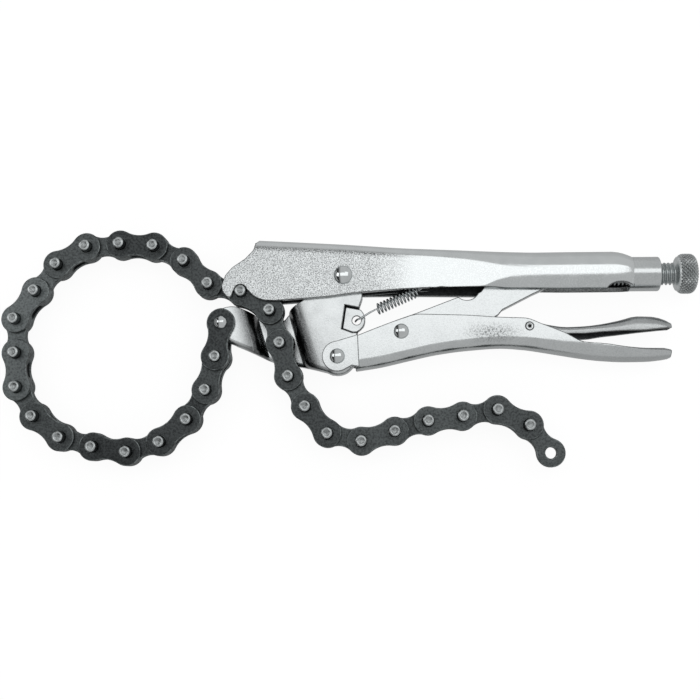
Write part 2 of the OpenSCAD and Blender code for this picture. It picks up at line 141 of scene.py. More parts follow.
class ToolSizes(bpy.types.PropertyGroup):
    """Sizes of the folded tool, its screw and its spring"""
    upper_sheet: FloatProperty(
        name="Upper sheet", description="Sheet of the upper handle", unit="LENGTH", default=2.5 * MM)
    lower_sheet: FloatProperty(
        name="Lower sheet", description="Sheet of the lower handle", unit="LENGTH", default=2.2 * MM)
    lever_sheet: FloatProperty(
        name="Lever sheet", description="Sheet of the lever", unit="LENGTH", default=1.6 * MM)
    rounding: FloatProperty(
        name="Rounding", description="Rounding of cut sheet edges", unit="LENGTH", default=0.4 * MM)
    screw: FloatProperty(
        name="Screw", description="Thread diameter", unit="LENGTH", default=10.5 * MM)
    thread: FloatProperty(
        name="Thread", description="Thread pitch", unit="LENGTH", default=1.8143 * MM)
    knob: FloatProperty(
        name="Knob", description="Knob diameter", unit="LENGTH", default=18.6 * MM)
    knurls: IntProperty(name="Knurls", description="Knurl points round the knob", default=31)
    draw_in: FloatProperty(
        name="Draw in", description="How far the collar and the screw sit forward of the CAD's", unit="LENGTH",
        default=1.2 * MM)
    wire: FloatProperty(
        name="Wire", description="Spring wire diameter", unit="LENGTH", default=0.9 * MM)
    curls: IntProperty(name="Curls", description="Turns of the spring's coil", default=13)


class FinishColours(bpy.types.PropertyGroup):
    """Colours of the finishes"""
    plate: FloatVectorProperty(
        name="Plating", description="Nickel plate", subtype="COLOR", default=(0.774, 0.806, 0.812))
    oxide: FloatVectorProperty(
        name="Oxide", description="Black oxide of the chain plates", subtype="COLOR",
        default=(0.128, 0.142, 0.143))
    pin: FloatVectorProperty(
        name="Pin", description="Bare steel of the pins' ends", subtype="COLOR", default=(0.68, 0.72, 0.724))
    # Painted shade: the inside of the folded sheet, its hollows, slots and holes are coloured near-black
    inside: FloatVectorProperty(
        name="Inside", description="Shaded inside of the folded sheet", subtype="COLOR",
        default=(0.09, 0.095, 0.1))
    rivet: FloatVectorProperty(
        name="Rivet", description="Bright rivet heads", subtype="COLOR", default=(0.825, 0.862, 0.868))
    wire: FloatVectorProperty(
        name="Wire", description="Spring wire", subtype="COLOR", default=(0.81, 0.85, 0.86))
    knob: FloatVectorProperty(
        name="Knob", description="Zinc of the knob", subtype="COLOR", default=(0.895, 0.935, 0.94))
    screw: FloatVectorProperty(
        name="Screw", description="Zinc of the thread", subtype="COLOR", default=(0.595, 0.63, 0.635))


class StageSizes(bpy.types.PropertyGroup):
    """Camera and light"""
    azimuth: FloatProperty(
        name="Azimuth", description="Camera azimuth", subtype="ANGLE", default=math.radians(18))
    elevation: FloatProperty(
        name="Elevation", description="Camera elevation", subtype="ANGLE", default=math.radians(83))
    roll: FloatProperty(
        name="Roll", description="Camera roll", subtype="ANGLE", default=math.radians(-18.192))
    distance: FloatProperty(
        name="Distance", description="Camera distance", unit="LENGTH", default=0.52)
    target: FloatVectorProperty(
        name="Target", description="Point the camera looks at", subtype="XYZ", unit="LENGTH",
        default=(0.000922, -0.001531, 0.015))
    lens: FloatProperty(
        name="Lens", description="Focal length, in mm on a 36 mm sensor", unit="CAMERA", default=58.345)
    softbox: FloatProperty(
        name="Softbox", description="Radiance of the softboxes, in W/m2/sr", default=0.7)
    world: FloatProperty(
        name="World", description="Strength of the world light", default=0.48)


def mm(length):
    """A size in millimetres, without a float's last digits."""
    return round(length / MM, 4)


# Materials

# Near-black colour that the darkening masks mix in: the chain's tone, and painted shade elsewhere
GRIME_AND_SHADE_COLOUR = (0.03, 0.032, 0.034, 1)
WHITE = (1, 1, 1, 1)


def feed(tree, socket, value):
    """Links a socket to another one, or sets its value."""
    if isinstance(value, bpy.types.NodeSocket):
        tree.links.new(value, socket)
    else:
        socket.default_value = value


def map_range(tree, value, low, high, start=0.0, end=1.0, smooth=False):
    """A value's range from start to end, mapped to low and high."""
    node = tree.nodes.new("ShaderNodeMapRange")
    node.interpolation_type = "SMOOTHSTEP" if smooth else "LINEAR"
    for name, level in (("Value", value), ("From Min", start), ("From Max", end), ("To Min", low), ("To Max", high)):
        feed(tree, node.inputs[name], level)
    return node.outputs["Result"]


def reckon(tree, operation, *values):
    """The result of a Math node."""
    node = tree.nodes.new("ShaderNodeMath")
    node.operation = operation
    for socket, value in zip(node.inputs, values):
        feed(tree, socket, value)
    return node.outputs["Value"]


def mix_values(tree, factor, first, second):
    """Two values mixed by a factor."""
    node = tree.nodes.new("ShaderNodeMix")
    for socket, value in zip((node.inputs[0], node.inputs[2], node.inputs[3]), (factor, first, second)):
        feed(tree, socket, value)
    return node.outputs[0]


def mix_colours(tree, factor, first, second, way="MIX"):
    """Two colours mixed by a factor."""
    node = tree.nodes.new("ShaderNodeMix")
    node.data_type, node.blend_type = "RGBA", way
    for socket, value in zip((node.inputs[0], node.inputs[6], node.inputs[7]), (factor, first, second)):
        feed(tree, socket, value)
    return node.outputs[2]


def grain_group():
    """Fine grain and broad mottling of a metal skin, as values that change over the surface."""
    tree = bpy.data.node_groups.new("metal_skin", "ShaderNodeTree")
    for name, scale in (("Grain", 1200.0), ("Mottle", 90.0)):
        tree.interface.new_socket(name=name, in_out="INPUT", socket_type="NodeSocketFloat").default_value = scale
    for name in ("Height", "Speckle", "Patches"):
        tree.interface.new_socket(name=name, in_out="OUTPUT", socket_type="NodeSocketFloat")
    into, out = tree.nodes.new("NodeGroupInput"), tree.nodes.new("NodeGroupOutput")
    place = tree.nodes.new("ShaderNodeTexCoord").outputs["Object"]
    noise_of = {}
    for scale, detail, roughness in (("Grain", 3.0, 0.6), ("Mottle", 4.0, 0.5)):
        noise = tree.nodes.new("ShaderNodeTexNoise")
        for name, value in (("Vector", place), ("Scale", into.outputs[scale]), ("Detail", detail),
                            ("Roughness", roughness)):
            feed(tree, noise.inputs[name], value)
        noise_of[scale] = noise.outputs["Fac"]
    feed(tree, out.inputs["Height"], noise_of["Grain"])
    feed(tree, out.inputs["Speckle"], map_range(tree, noise_of["Grain"], 0.0, 1.0, 0.38, 0.55))
    feed(tree, out.inputs["Patches"], map_range(tree, noise_of["Mottle"], 0.0, 1.0, 0.33, 0.67))


def vertex_mask(tree, layer):
    """A mask that is kept on the piece's vertices."""
    node = tree.nodes.new("ShaderNodeAttribute")
    node.attribute_name = layer
    return node.outputs["Fac"]


def round_mask(tree, place, reach, most):
    """A soft oval mask round a point of the piece, in metres."""
    value = tree.nodes.new("ShaderNodeTexCoord").outputs["Object"]
    for operation, by, result in (("SUBTRACT", place, "Vector"), ("DIVIDE", reach, "Vector"),
                                  ("LENGTH", (0, 0, 0), "Value")):
        node = tree.nodes.new("ShaderNodeVectorMath")
        node.operation = operation
        feed(tree, node.inputs[0], value)
        feed(tree, node.inputs[1], by)
        value = node.outputs[result]
    return map_range(tree, value, most, 0.0, smooth=True)


def metal(name, colour, rough, grain, mottle, bump, speckle, patches, plain=False, grimy=False, smudge=None,
          broken_to=0.5):
    """A metal with grain in its height and mottling in its colour and gloss.

    Plain skin and a darkening mask, partly tone and partly painted shade, are kept on the vertices; an oval patch of
    painted shade is given by its place; and the darkening breaks up on the grain.
    """
    material = bpy.data.materials.new(name)
    material.use_nodes = True
    tree = material.node_tree
    skin = tree.nodes.new("ShaderNodeGroup")
    skin.node_tree = bpy.data.node_groups["metal_skin"]
    skin.inputs["Grain"].default_value = grain
    skin.inputs["Mottle"].default_value = mottle
    grains, height, patchy = (skin.outputs[n] for n in ("Speckle", "Height", "Patches"))
    gloss = map_range(tree, patchy, rough * 0.75, min(rough * 1.3, 1))
    light = grains
    if plain:
        bare = vertex_mask(tree, "plain")
        light = reckon(tree, "MAXIMUM", grains, bare)
        height = mix_values(tree, bare, height, 0.5)
        gloss = reckon(tree, "MULTIPLY", gloss, map_range(tree, bare, 1.0, 0.6))
    low, high = ((*[min(c * k, 1) for c in colour], 1) for k in (1 - speckle, 1 + speckle / 4))
    tint = mix_colours(tree, light, low, high)
    tint = mix_colours(tree, patches, tint, patchy, "MULTIPLY")
    # Darkens towards near-black by the vertex mask (tone, painted light and painted shade) or by an oval of painted
    # shade
    if grimy or smudge:
        mask = round_mask(tree, *smudge) if smudge else vertex_mask(tree, "grime_and_painted_shade")
        grime_and_shade_share = reckon(tree, "MULTIPLY", mask, map_range(tree, grains, 1.0, broken_to))
        tint = mix_colours(tree, grime_and_shade_share, tint, GRIME_AND_SHADE_COLOUR)
    relief = tree.nodes.new("ShaderNodeBump")
    for socket, value in (("Strength", bump), ("Distance", 0.2 * MM), ("Height", height)):
        feed(tree, relief.inputs[socket], value)
    shader = tree.nodes["Principled BSDF"]
    for socket, value in (("Metallic", 1.0), ("Base Color", tint), ("Roughness", gloss),
                          ("Normal", relief.outputs["Normal"])):
        feed(tree, shader.inputs[socket], value)


def finishes():
    """The finishes of the whole tool, by name, made once."""
    if "metal_skin" in bpy.data.node_groups:
        return bpy.data.materials
    grain_group()
    own = bpy.context.scene.clamp_finish
    # An oval of painted shade on the lower handle's wall, where it starts to curve
    smudge = (TOOL + Vector((68, -26.8, 6)) * MM, (0.018, 0.006, 0.02), 0.8)
    # Name, colour and share of it, roughness, grain and mottle per metre, bump, speckle, patches, masks
    for name, colour, part, *skin, masks in (
            # The grainy plate's darkening mask is painted shade along the crown's crease
            ("nickel_grainy", own.plate, 1, 0.24, 1750, 160, 0.6, 0.54, 0.06, {"plain": True, "grimy": True}),
            ("nickel_satin", own.plate, 1, 0.2, 1300, 110, 0.14, 0.06, 0.08, {}),
            # The jaw's plate, darkened on the valley's slopes by painted shade
            ("nickel_grimy", own.plate, 1, 0.24, 1300, 110, 0.14, 0.06, 0.08, {"grimy": True, "broken_to": 0.85}),
            # The lower handle's plate with an oval of painted shade
            ("nickel_smudged", own.plate, 1, 0.2, 1300, 110, 0.14, 0.06, 0.08, {"smudge": smudge, "broken_to": 0.2}),
            # The lever's plate takes painted shade along its top edge
            ("nickel_dull", own.plate, 0.82, 0.28, 1300, 90, 0.2, 0.1, 0.2, {"grimy": True, "broken_to": 0.7}),
            # The darker edge plate is painted shade on the sheets' rounded cut edges
            ("nickel_edge", own.plate, 0.5, 0.34, 1600, 500, 0.3, 0.5, 0.3, {}),
            ("bright_rivet", own.rivet, 1, 0.07, 900, 300, 0.04, 0.04, 0.08, {}),
            # The chain's darkening mask holds its oxide tone and its painted light
            ("black_oxide", own.oxide, 2, 0.4, 1000, 30, 0.35, 0.35, 0.4, {"grimy": True, "broken_to": 0.85}),
            ("oxide_edge", own.oxide, 2.2, 0.32, 900, 260, 0.3, 0.5, 0.7, {}),
            ("pin_steel", own.pin, 1, 0.28, 900, 400, 0.25, 0.25, 0.35, {}),
            # The darker dish of a pin's end is painted shade
            ("pin_dish", own.pin, 0.75, 0.34, 1100, 500, 0.4, 0.4, 0.4, {}),
            # The dark inside material is painted shade for insides, hollows, slots and holes
            ("dull_inside", own.inside, 1, 0.6, 700, 120, 0.3, 0.3, 0.4, {}),
            ("spring_wire", own.wire, 1, 0.14, 1200, 500, 0.1, 0.15, 0.2, {}),
            # The knob's darkening mask is painted shade in its knurl's hollows
            ("zinc_knurl", own.knob, 1, 0.3, 1200, 200, 0.2, 0.15, 0.15, {"grimy": True, "broken_to": 0.8}),
            ("zinc_screw", own.screw, 1, 0.26, 1200, 200, 0.2, 0.15, 0.2, {})):
        metal(name, [c * part for c in colour], *skin, **masks)
    return bpy.data.materials


# Shared shaping

def share(value):
    """A value held between 0 and 1."""
    return min(max(value, 0), 1)


def new_object(name, data):
    """A new object in the scene."""
    made = bpy.data.objects.new(name, data)
    bpy.context.scene.collection.objects.link(made)
    return made


def new_mesh(name, bm):
    """A mesh made from a bmesh, which is freed."""
    mesh = bpy.data.meshes.new(name)
    bm.to_mesh(mesh)
    bm.free()
    return mesh


def made_shape(shape):
    """A bmesh of an object as its modifiers or its bevel make it."""
    bpy.context.view_layer.update()
    mesh = bpy.data.meshes.new_from_object(shape.evaluated_get(bpy.context.evaluated_depsgraph_get()))
    bm = bmesh.new()
    bm.from_mesh(mesh)
    bpy.data.meshes.remove(mesh)
    return bm


def move(bm, x, y, z=0.0):
    """Moves a whole bmesh."""
    bmesh.ops.translate(bm, vec=(x, y, z), verts=bm.verts)


def turn(bm, angle, axis):
    """Turns a whole bmesh about an axis through the origin."""
    bmesh.ops.rotate(bm, cent=(0, 0, 0), matrix=Matrix.Rotation(angle, 3, axis), verts=bm.verts)


def flip(bm, x, y, z):
    """Mirrors a whole bmesh, with its faces kept outwards."""
    bmesh.ops.scale(bm, vec=(x, y, z), verts=bm.verts)
    bmesh.ops.reverse_faces(bm, faces=bm.faces)


def raise_faces(bm, height):
    """Extrudes a flat bmesh to a closed block."""
    made = bmesh.ops.extrude_face_region(bm, geom=bm.faces[:])["geom"]
    bmesh.ops.translate(bm, vec=(0, 0, height), verts=[v for v in made if isinstance(v, bmesh.types.BMVert)])
    bmesh.ops.recalc_face_normals(bm, faces=bm.faces)


def paint(bm, material):
    """Gives every face of a bmesh one material number."""
    for face in bm.faces:
        face.material_index = material


def shade_by_angle(bm, limit=35):
    """Smooth faces, with sharp edges where two faces meet at more than the limit in degrees."""
    for face in bm.faces:
        face.smooth = True
    for edge in bm.edges:
        edge.smooth = len(edge.link_faces) == 2 and edge.calc_face_angle() < math.radians(limit)


def round_rims(bm, width, edge_material=None):
    """Rounds every sharp outer edge, with a material number for the rounding when one is given: rubbed oxide on a chain
    plate, painted shade on a sheet's cut edge.
    """
    rims = [e for e in bm.edges if e.is_manifold and e.is_convex and e.calc_face_angle() > math.radians(50)]
    made = bmesh.ops.bevel(bm, geom=rims, offset=width, offset_type="OFFSET", affect="EDGES", segments=2,
                           profile=0.5, material=-1, clamp_overlap=False)
    if edge_material is not None:
        for face in made["faces"]:
            face.material_index = edge_material


def add_part(bm, part):
    """Adds a finished bmesh to another one."""
    mesh = new_mesh("part", part)
    bm.from_mesh(mesh)
    bpy.data.meshes.remove(mesh)


def line(bm, points):
    """A row of edges through some points."""
    verts = [bm.verts.new(p) for p in points]
    edges = [bm.edges.new(pair) for pair in zip(verts, verts[1:])]
    return verts + edges


def turned(profile, steps=32):
    """A turned solid on the z axis, from a profile of radius and height."""
    bm = bmesh.new()
    outline = line(bm, [(r, 0, z) for r, z in profile])
    bmesh.ops.spin(bm, geom=outline, cent=(0, 0, 0), axis=(0, 0, 1), dvec=(0, 0, 0), angle=math.tau,
                   steps=steps, use_merge=True)
    bmesh.ops.remove_doubles(bm, verts=bm.verts, dist=1e-4)
    bmesh.ops.recalc_face_normals(bm, faces=bm.faces)
    return bm


def turned_both_ways(end, steps):
    """A turned solid with the same end above and below, from the upper end's profile."""
    return turned(list(end) + [(r, -z) for r, z in reversed(end)], steps)


def place_piece(name, bm, materials, slot, body, *nodes):
    """Makes a piece from a bmesh in tool millimetres, sets it on its body and puts it for its CAD nodes."""
    bmesh.ops.scale(bm, vec=(MM, MM, MM), verts=bm.verts)
    move(bm, *TOOL)
    mesh = new_mesh(name, bm)
    for material in materials:
        mesh.materials.append(material)
    piece = new_object(name, mesh)
    flat = piece.modifiers.new("flat_faces", "WEIGHTED_NORMAL")
    flat.weight, flat.keep_sharp = 80, True
    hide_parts(*nodes)
    if body:
        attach(piece, body)
    return piece


# Chain

BORE_PLAY = 0.06
PIN_DISH = ((0, 0.34), (0.9, 0.3), (1.45, 0.12), (1.75, 0), (2.1, 0.02))  # radius, depth below the pin's end
# Inside this radius a pin's end is painted darker, as painted shade in its dish
DISH_RADIUS = 1.5
# How dark the oxide is in the loop and in the tail, how much painted light lightens the links towards one side of the
# loop, and how much the tone differs from link to link
LOOP_GRIME, TAIL_GRIME, LOOP_PAINTED_LIGHT, GRIME_SPREAD = 0.8, 0.64, 0.62, 0.1
PAINTED_LIGHT_SIDE = math.radians(165)


def plate_outline(bm, pitch, radius, waist):
    """A chain plate's closed outline: two round ends and two hollow waists, spun from one vertex."""
    half = pitch / 2
    hollow = (half * half + waist * waist / 4 - radius * radius) / (2 * radius - waist)
    lean = math.atan2(waist / 2 + hollow, half)
    vertex = bm.verts.new((radius * math.cos(lean), radius * math.sin(lean), 0))
    around, across = math.tau - 2 * lean, 2 * lean - math.pi
    low, high = -(waist / 2 + hollow), waist / 2 + hollow
    for centre, angle, steps in (((0, 0, 0), around, 22), ((half, low, 0), across, 8),
                                 ((pitch, 0, 0), around, 22), ((half, high, 0), across, 8)):
        made = bmesh.ops.spin(bm, geom=[vertex], cent=centre, axis=(0, 0, 1), dvec=(0, 0, 0), angle=angle,
                              steps=steps)
        vertex = [v for v in made["geom_last"] if isinstance(v, bmesh.types.BMVert)][0]
    bmesh.ops.remove_doubles(bm, verts=bm.verts, dist=1e-3)


def plate(pitch, radius, waist, bore, bottom, thick, rounding):
    """A waisted chain plate with two bores and rounded edges, lying from its first pin along x."""
    bm = bmesh.new()
    plate_outline(bm, pitch, radius, waist)
    for x in (0, pitch):
        bmesh.ops.create_circle(bm, segments=24, radius=bore, matrix=Matrix.Translation((x, 0, 0)))
    bmesh.ops.triangle_fill(bm, edges=bm.edges, use_beauty=True)
    move(bm, 0, 0, bottom)
    raise_faces(bm, thick)
    round_rims(bm, rounding, EDGE)
    return bm


def chain_pin(radius, length):
    """A pin with dished, rounded ends, its dish painted darker and its sides painted as dark as the plates, both as
    painted shade.
    """
    depths = PIN_DISH + ((radius - 0.1, 0.22), (radius, 0.5))
    bm = turned_both_ways([(r, length / 2 - depth) for r, depth in depths], 28)
    bm.normal_update()
    for face in bm.faces:
        end = DISH if face.calc_center_median().xy.length < DISH_RADIUS else PIN
        # Painted shade: a pin's sides take the plates' dark oxide
        face.material_index = OXIDE if abs(face.normal.z) < 0.2 else end
    return bm


def link_grime(number):
    """How dark a link's oxide is: lighter along the tail, with painted light that lightens the links round the loop's
    far side.
    """
    spread = GRIME_SPREAD * math.sin(2.4 * number)
    if number > LOOP:
        return TAIL_GRIME + spread
    middle_of_loop = sum(PINS[:LOOP], Vector()) / LOOP
    out = (PINS[number - 1] + PINS[number]) / 2 - middle_of_loop
    # Painted light: links that face the lit side of the loop are painted lighter
    facing = max(math.cos(math.atan2(out.y, out.x) - PAINTED_LIGHT_SIDE), 0)
    return LOOP_GRIME - LOOP_PAINTED_LIGHT * facing * facing + spread


def chain_link(number):
    """One link in tool millimetres: two plates, and two pins on every even link."""
    sizes = bpy.context.scene.clamp_chain
    pitch, thick, gap, pin_radius = mm(sizes.pitch), mm(sizes.plate), mm(sizes.gap), mm(sizes.pin) / 2
    inner = gap / 2
    outer = inner + thick + gap
    anchor = outer + thick + 1.5 * gap
    bottom = anchor if number == 1 else inner if number % 2 else outer
    waist = mm(sizes.inner_waist if number % 2 and number > 1 else sizes.outer_waist)
    bm = bmesh.new()
    for side in (1, -1):
        part = plate(pitch, mm(sizes.head) / 2, waist, pin_radius + BORE_PLAY, bottom, thick, mm(sizes.rounding))
        if side < 0:
            flip(part, 1, 1, -1)
        add_part(bm, part)
    if number % 2 == 0:
        for x in (0, pitch):
            pin = chain_pin(pin_radius, mm(sizes.pin_length))
            move(pin, x, 0)
            add_part(bm, pin)
    first, second = PINS[number - 1], PINS[number]
    turn(bm, math.atan2(second.y - first.y, second.x - first.x), "Z")
    move(bm, first.x, first.y)
    shade_by_angle(bm)
    grime_and_painted_shade, level = bm.verts.layers.float.new("grime_and_painted_shade"), link_grime(number)
    for vertex in bm.verts:
        vertex[grime_and_painted_shade] = level
    return bm


class CLAMP_OT_chain(bpy.types.Operator):
    """Builds the chain, link by link"""
    bl_idname = "clamp.chain"
    bl_label = "Chain"

    def execute(self, context):
        kinds = finishes()
        finish = [kinds[name] for name in ("black_oxide", "pin_steel", "oxide_edge", "pin_dish")]
        for number in range(1, LINKS + 1):
            node = "anchor_link" if number == 1 else "chain_link_%02d" % number
            place_piece("%s_plates" % node, chain_link(number), finish, "chain", node, node)
        return {"FINISHED"}


# Folded sheet

def in_order(bm):
    """The same shape with its vertices and faces in a fixed order, because a cut gives them in a new order each run."""
    rank = {v: i for i, v in enumerate(sorted(bm.verts, key=lambda v: (v.co.y, v.co.x, v.co.z)))}
    rings = []
    for face in bm.faces:
        ring = [rank[v] for v in face.verts]
        start = ring.index(min(ring))
        rings.append((ring[start:] + ring[:start], face.material_index))
    ordered = bmesh.new()
    verts = [ordered.verts.new(v.co) for v in rank]
    for ring, material in sorted(rings):
        corners = [verts[i] for i in ring]
        if not ordered.faces.get(corners):
            ordered.faces.new(corners).material_index = material
    bm.free()
    return ordered


def combine(first, second, way):
    """Joins, cuts or intersects two closed shapes, and keeps their material numbers."""
    pair = []
    for bm in (first, second):
        mesh = new_mesh("shape", bm)
        mesh.materials.append(None)
        mesh.materials.append(None)
        pair.append(new_object("shape", mesh))
    cut = pair[0].modifiers.new("cut", "BOOLEAN")
    cut.operation, cut.solver, cut.object = way, "EXACT", pair[1]
    bm = in_order(made_shape(pair[0]))
    for shape in pair:
        data = shape.data
        bpy.data.objects.remove(shape)
        bpy.data.meshes.remove(data)
    if not bm.faces:
        raise RuntimeError("a cut left nothing")
    return bm


def arc(place, radius, start, end, steps):
    """Points on an arc, with angles in degrees."""
    angles = (math.radians(start + (end - start) * i / steps) for i in range(steps + 1))
    return [(place[0] + radius * math.cos(a), place[1] + radius * math.sin(a)) for a in angles]


def oblong(left, right, low, high):
    """The corners of a rectangle."""
    return (left, low), (right, low), (right, high), (left, high)


def block(outline, bottom, top, corner=0.0):
    """A closed block from a flat outline, with its corners rounded."""
    bm = bmesh.new()
    bm.faces.new([bm.verts.new((x, y, bottom)) for x, y in outline])
    if corner:
        bmesh.ops.bevel(bm, geom=bm.verts[:], offset=corner, offset_type="OFFSET", affect="VERTICES",
                        segments=4, profile=0.5, material=-1, clamp_overlap=True)
    raise_faces(bm, top - bottom)
    return bm


def drum(place, radius, bottom, top, steps=48):
    """A closed upright cylinder."""
    bm = bmesh.new()
    bmesh.ops.create_cone(bm, cap_ends=True, segments=steps, radius1=radius, radius2=radius, depth=top - bottom,
                          matrix=Matrix.Translation((place[0], place[1], (top + bottom) / 2)))
    return bm


def steady_slopes(xs, values):
    """Slopes at each station that never overshoot between two stations."""
    steps = [(b - a) / (q - p) for a, b, p, q in zip(values, values[1:], xs, xs[1:])]
    inner = [0 if a * b <= 0 else 2 * a * b / (a + b) for a, b in zip(steps, steps[1:])]
    return [steps[0]] + inner + [steps[-1]]


def fine_stations(stations, spacing=2.5):
    """Stations of a channel at a finer spacing, on smooth curves through the given ones."""
    xs = [s[0] for s in stations]
    columns = list(zip(*stations))
    slopes = [steady_slopes(xs, c) for c in columns]
    made = []
    for i in range(len(xs) - 1):
        span = xs[i + 1] - xs[i]
        count = max(1, round(span / spacing))
        for k in range(count):
            t = k / count
            made.append([c[i] * (1 + 2 * t) * (1 - t) ** 2 + c[i + 1] * t * t * (3 - 2 * t)
                         + span * t * (1 - t) * (m[i] * (1 - t) - m[i + 1] * t)
                         for c, m in zip(columns, slopes)])
    return made + [list(stations[-1])]


def half_section(station, depth, shares, curl_steps, bend_steps=12):
    """One side of a channel's section, from its free edge to its crown, as half width and height."""
    _, half, crown, edge, bend, lip, curl = station
    hook = math.radians(curl)
    low, high = edge + lip * math.sin(hook), crown - bend
    start = math.asin(min(max((low - high) / bend, 0), 0.9))
    wall = half - bend + bend * math.cos(start)
    bow, points = [], []
    for i in range(bend_steps + 1):
        angle = start + (math.pi / 2 - start) * i / bend_steps
        bow.append((half - bend + (bend - depth) * math.cos(angle),
                    crown - bend + (bend - depth) * math.sin(angle)))
    for i in range(curl_steps, -1, -1):
        angle = -hook * i / max(curl_steps, 1)
        points.append((wall - lip + (lip - depth) * math.cos(angle), low + (lip - depth) * math.sin(angle)))
    if start and not curl_steps:
        points = bow[:1]
    for part in shares:
        points.append((wall - depth, low + max(high - low, 0.05) * part))
    return points + bow


def channel(stations, wall, shares=(), curl_steps=0):
    """A folded sheet channel with its crown up, swept through its stations."""
    bm = bmesh.new()
    inside = set()
    last = first = None
    for station in fine_stations(stations):
        skin, core = (half_section(station, depth, shares, curl_steps) for depth in (0, wall))
        ring = [(z, y, 0) for z, y in skin] + [(-z, y, 0) for z, y in reversed(skin)]
        ring += [(-z, y, 1) for z, y in core] + [(z, y, 1) for z, y in reversed(core)]
        verts = [bm.verts.new((station[0], y, z)) for z, y, _ in ring]
        inside.update(v for v, r in zip(verts, ring) if r[2])
        edges = [bm.edges.new(pair) for pair in zip(verts, verts[1:] + verts[:1])]
        if last:
            bmesh.ops.bridge_loops(bm, edges=last + edges)
        first, last = first or edges, edges
    for ring in (first, last):
        bmesh.ops.edgeloop_fill(bm, edges=ring)
    bmesh.ops.recalc_face_normals(bm, faces=bm.faces)
    # Painted shade: the faces inside the channel take the dark inside material
    for face in bm.faces:
        within = len(face.verts) == 4 and all(v in inside for v in face.verts)
        face.material_index = INSIDE if within else SKIN
    return bm


def finish_sheet(bm, rounding):
    """Merges slivers, rounds the cut edges and sets the shading of a sheet piece."""
    bmesh.ops.remove_doubles(bm, verts=bm.verts, dist=0.15)
    bmesh.ops.dissolve_degenerate(bm, edges=bm.edges, dist=0.05)
    round_rims(bm, rounding, EDGE)
    shade_by_angle(bm, 40)


THROUGH = 30  # half the length of a cutter that goes right through

# Stations of the channels: x, half width, crown, free edge, radius of the bend, radius of the lip, its curl in degrees
UPPER_STATIONS = (
    (-58, 6.95, 18.1, -14, 3.9, 3, 4), (0, 6.95, 14.8, -14, 3.9, 3, 4), (30, 6.95, 12.7, -14, 4, 3, 4),
    (40, 6.95, 12.3, -6.1, 4.2, 3, 5), (52, 7.3, 11.8, -6, 4.8, 3.2, 6), (63, 7.7, 11.4, -6, 6, 3.8, 10),
    (70, 8.2, 11.2, -6.3, 7.2, 6.2, 36), (78, 8.6, 11, -6.7, 8.1, 7.6, 50), (88, 8.75, 10.8, -6.9, 8.5, 7.9, 54),
    (104, 8.75, 10.9, -7.2, 8.6, 8.2, 56), (123.5, 8.75, 10.9, -7.2, 8.6, 8.2, 58),
    (128.6, 8.4, 10, -7.3, 8.2, 7.9, 68), (132.8, 7.8, 8.3, -7.3, 7.7, 7.7, 84))
# The lower handle's heights are measured downwards
LOWER_STATIONS = (
    (5.6, 6.3, 43.9, 27.9, 5, 3, 4), (16, 6.3, 42.3, 23.8, 5, 3, 4), (28, 6.3, 39.6, 19.5, 5, 3, 4),
    (34, 6.3, 38.2, 17.9, 5, 3, 4), (42, 6.3, 36.5, 18.1, 5, 3, 4), (56, 6.3, 34.6, 18.5, 5, 3, 4),
    (72, 6.3, 33.6, 19.6, 5.2, 3, 4), (83, 6.4, 34.4, 20, 5.6, 3, 4), (90, 6.5, 35.5, 22.6, 6, 3, 4),
    (101, 6.8, 37.4, 27.1, 6.6, 2.9, 4), (109, 7.2, 38.7, 31.2, 7.1, 2.8, 4), (118, 7.5, 39.7, 32, 7.4, 2.7, 4),
    (128, 7.6, 40.2, 33.6, 7.5, 2.6, 4), (137, 7.6, 40.1, 34.6, 7.4, 2.5, 4), (145, 7.5, 39.3, 34.8, 6.6, 2.5, 4),
    (148.3, 6.9, 38.6, 35.4, 4.4, 2.5, 4))
LEVER_STATIONS = (
    (70, 3.6, -22.6, -25.6, 2, 1.9, 4), (77, 3.6, -21.2, -27.4, 2, 1.9, 4), (85, 3.6, -20.9, -28.2, 2, 1.9, 4),
    (93, 3.6, -22.9, -28.6, 2, 1.9, 4), (102, 3.6, -24.1, -29.4, 2, 1.9, 4), (110, 3.6, -23.8, -29.6, 2, 1.9, 4),
    (118, 3.9, -22.8, -28.5, 2.6, 1.9, 4), (126, 5, -21.2, -27.5, 3.6, 1.9, 4),
    (134, 5.4, -19.3, -26.5, 4.8, 1.9, 4), (141, 5.4, -19.5, -25.8, 4.8, 1.9, 4),
    (146.4, 5.2, -21.2, -25.3, 3.6, 1.9, 4), (149.1, 4.5, -22.9, -25.2, 2, 1.7, 4))

# Upper handle: its side view, the hook's throat, the mouth under the tube, the far wall's lower edge and the lug
UPPER_SHARES = (0.25, 0.5, 0.75, 0.94)
UPPER_OUTLINE = (
    (-38.5, 24), (-39.2, 16.4), (-40.5, 15.4), (-41.5, 12), (-45.3, 8), (-51.1, 4.1), (-54.3, 0.5),
    (-56.1, -4.4), (-55.5, -7.4), (-53.2, -10), (-51.6, -10), (-50.4, -6.4), (-44.2, -6.4), (-42.3, -8.5),
    (-40, -10.3), (-36.3, -11.5), (-30.6, -11.7), (-18.9, -10.9), (-7.1, -10), (4.6, -8.5), (26.2, -6.8),
    (40, -6.2), (41, -20), (160, -20), (160, 24))
HOOK, HOOK_RADIUS = (-47.3, -7), 2.94
MOUTH, MOUTH_REACH = (126.6, -7.6), (6.3, 3.5)
FAR_SKIRT = (
    (-33, -9.9), (-29, -10.9), (-18, -11), (-7, -10), (5, -8.4), (26, -8.3), (62, -8.8), (69, -8.4), (73, -6),
    (74, -4), (66, -3), (-33, -3))
SKIRT_FROM, SKIRT_TO = -6.9, -4.5
LUG_CORNERS, LUG_HALF, LUG_HOLE = oblong(47.5, 51.5, -4.6, 10.2), 1, 0.9

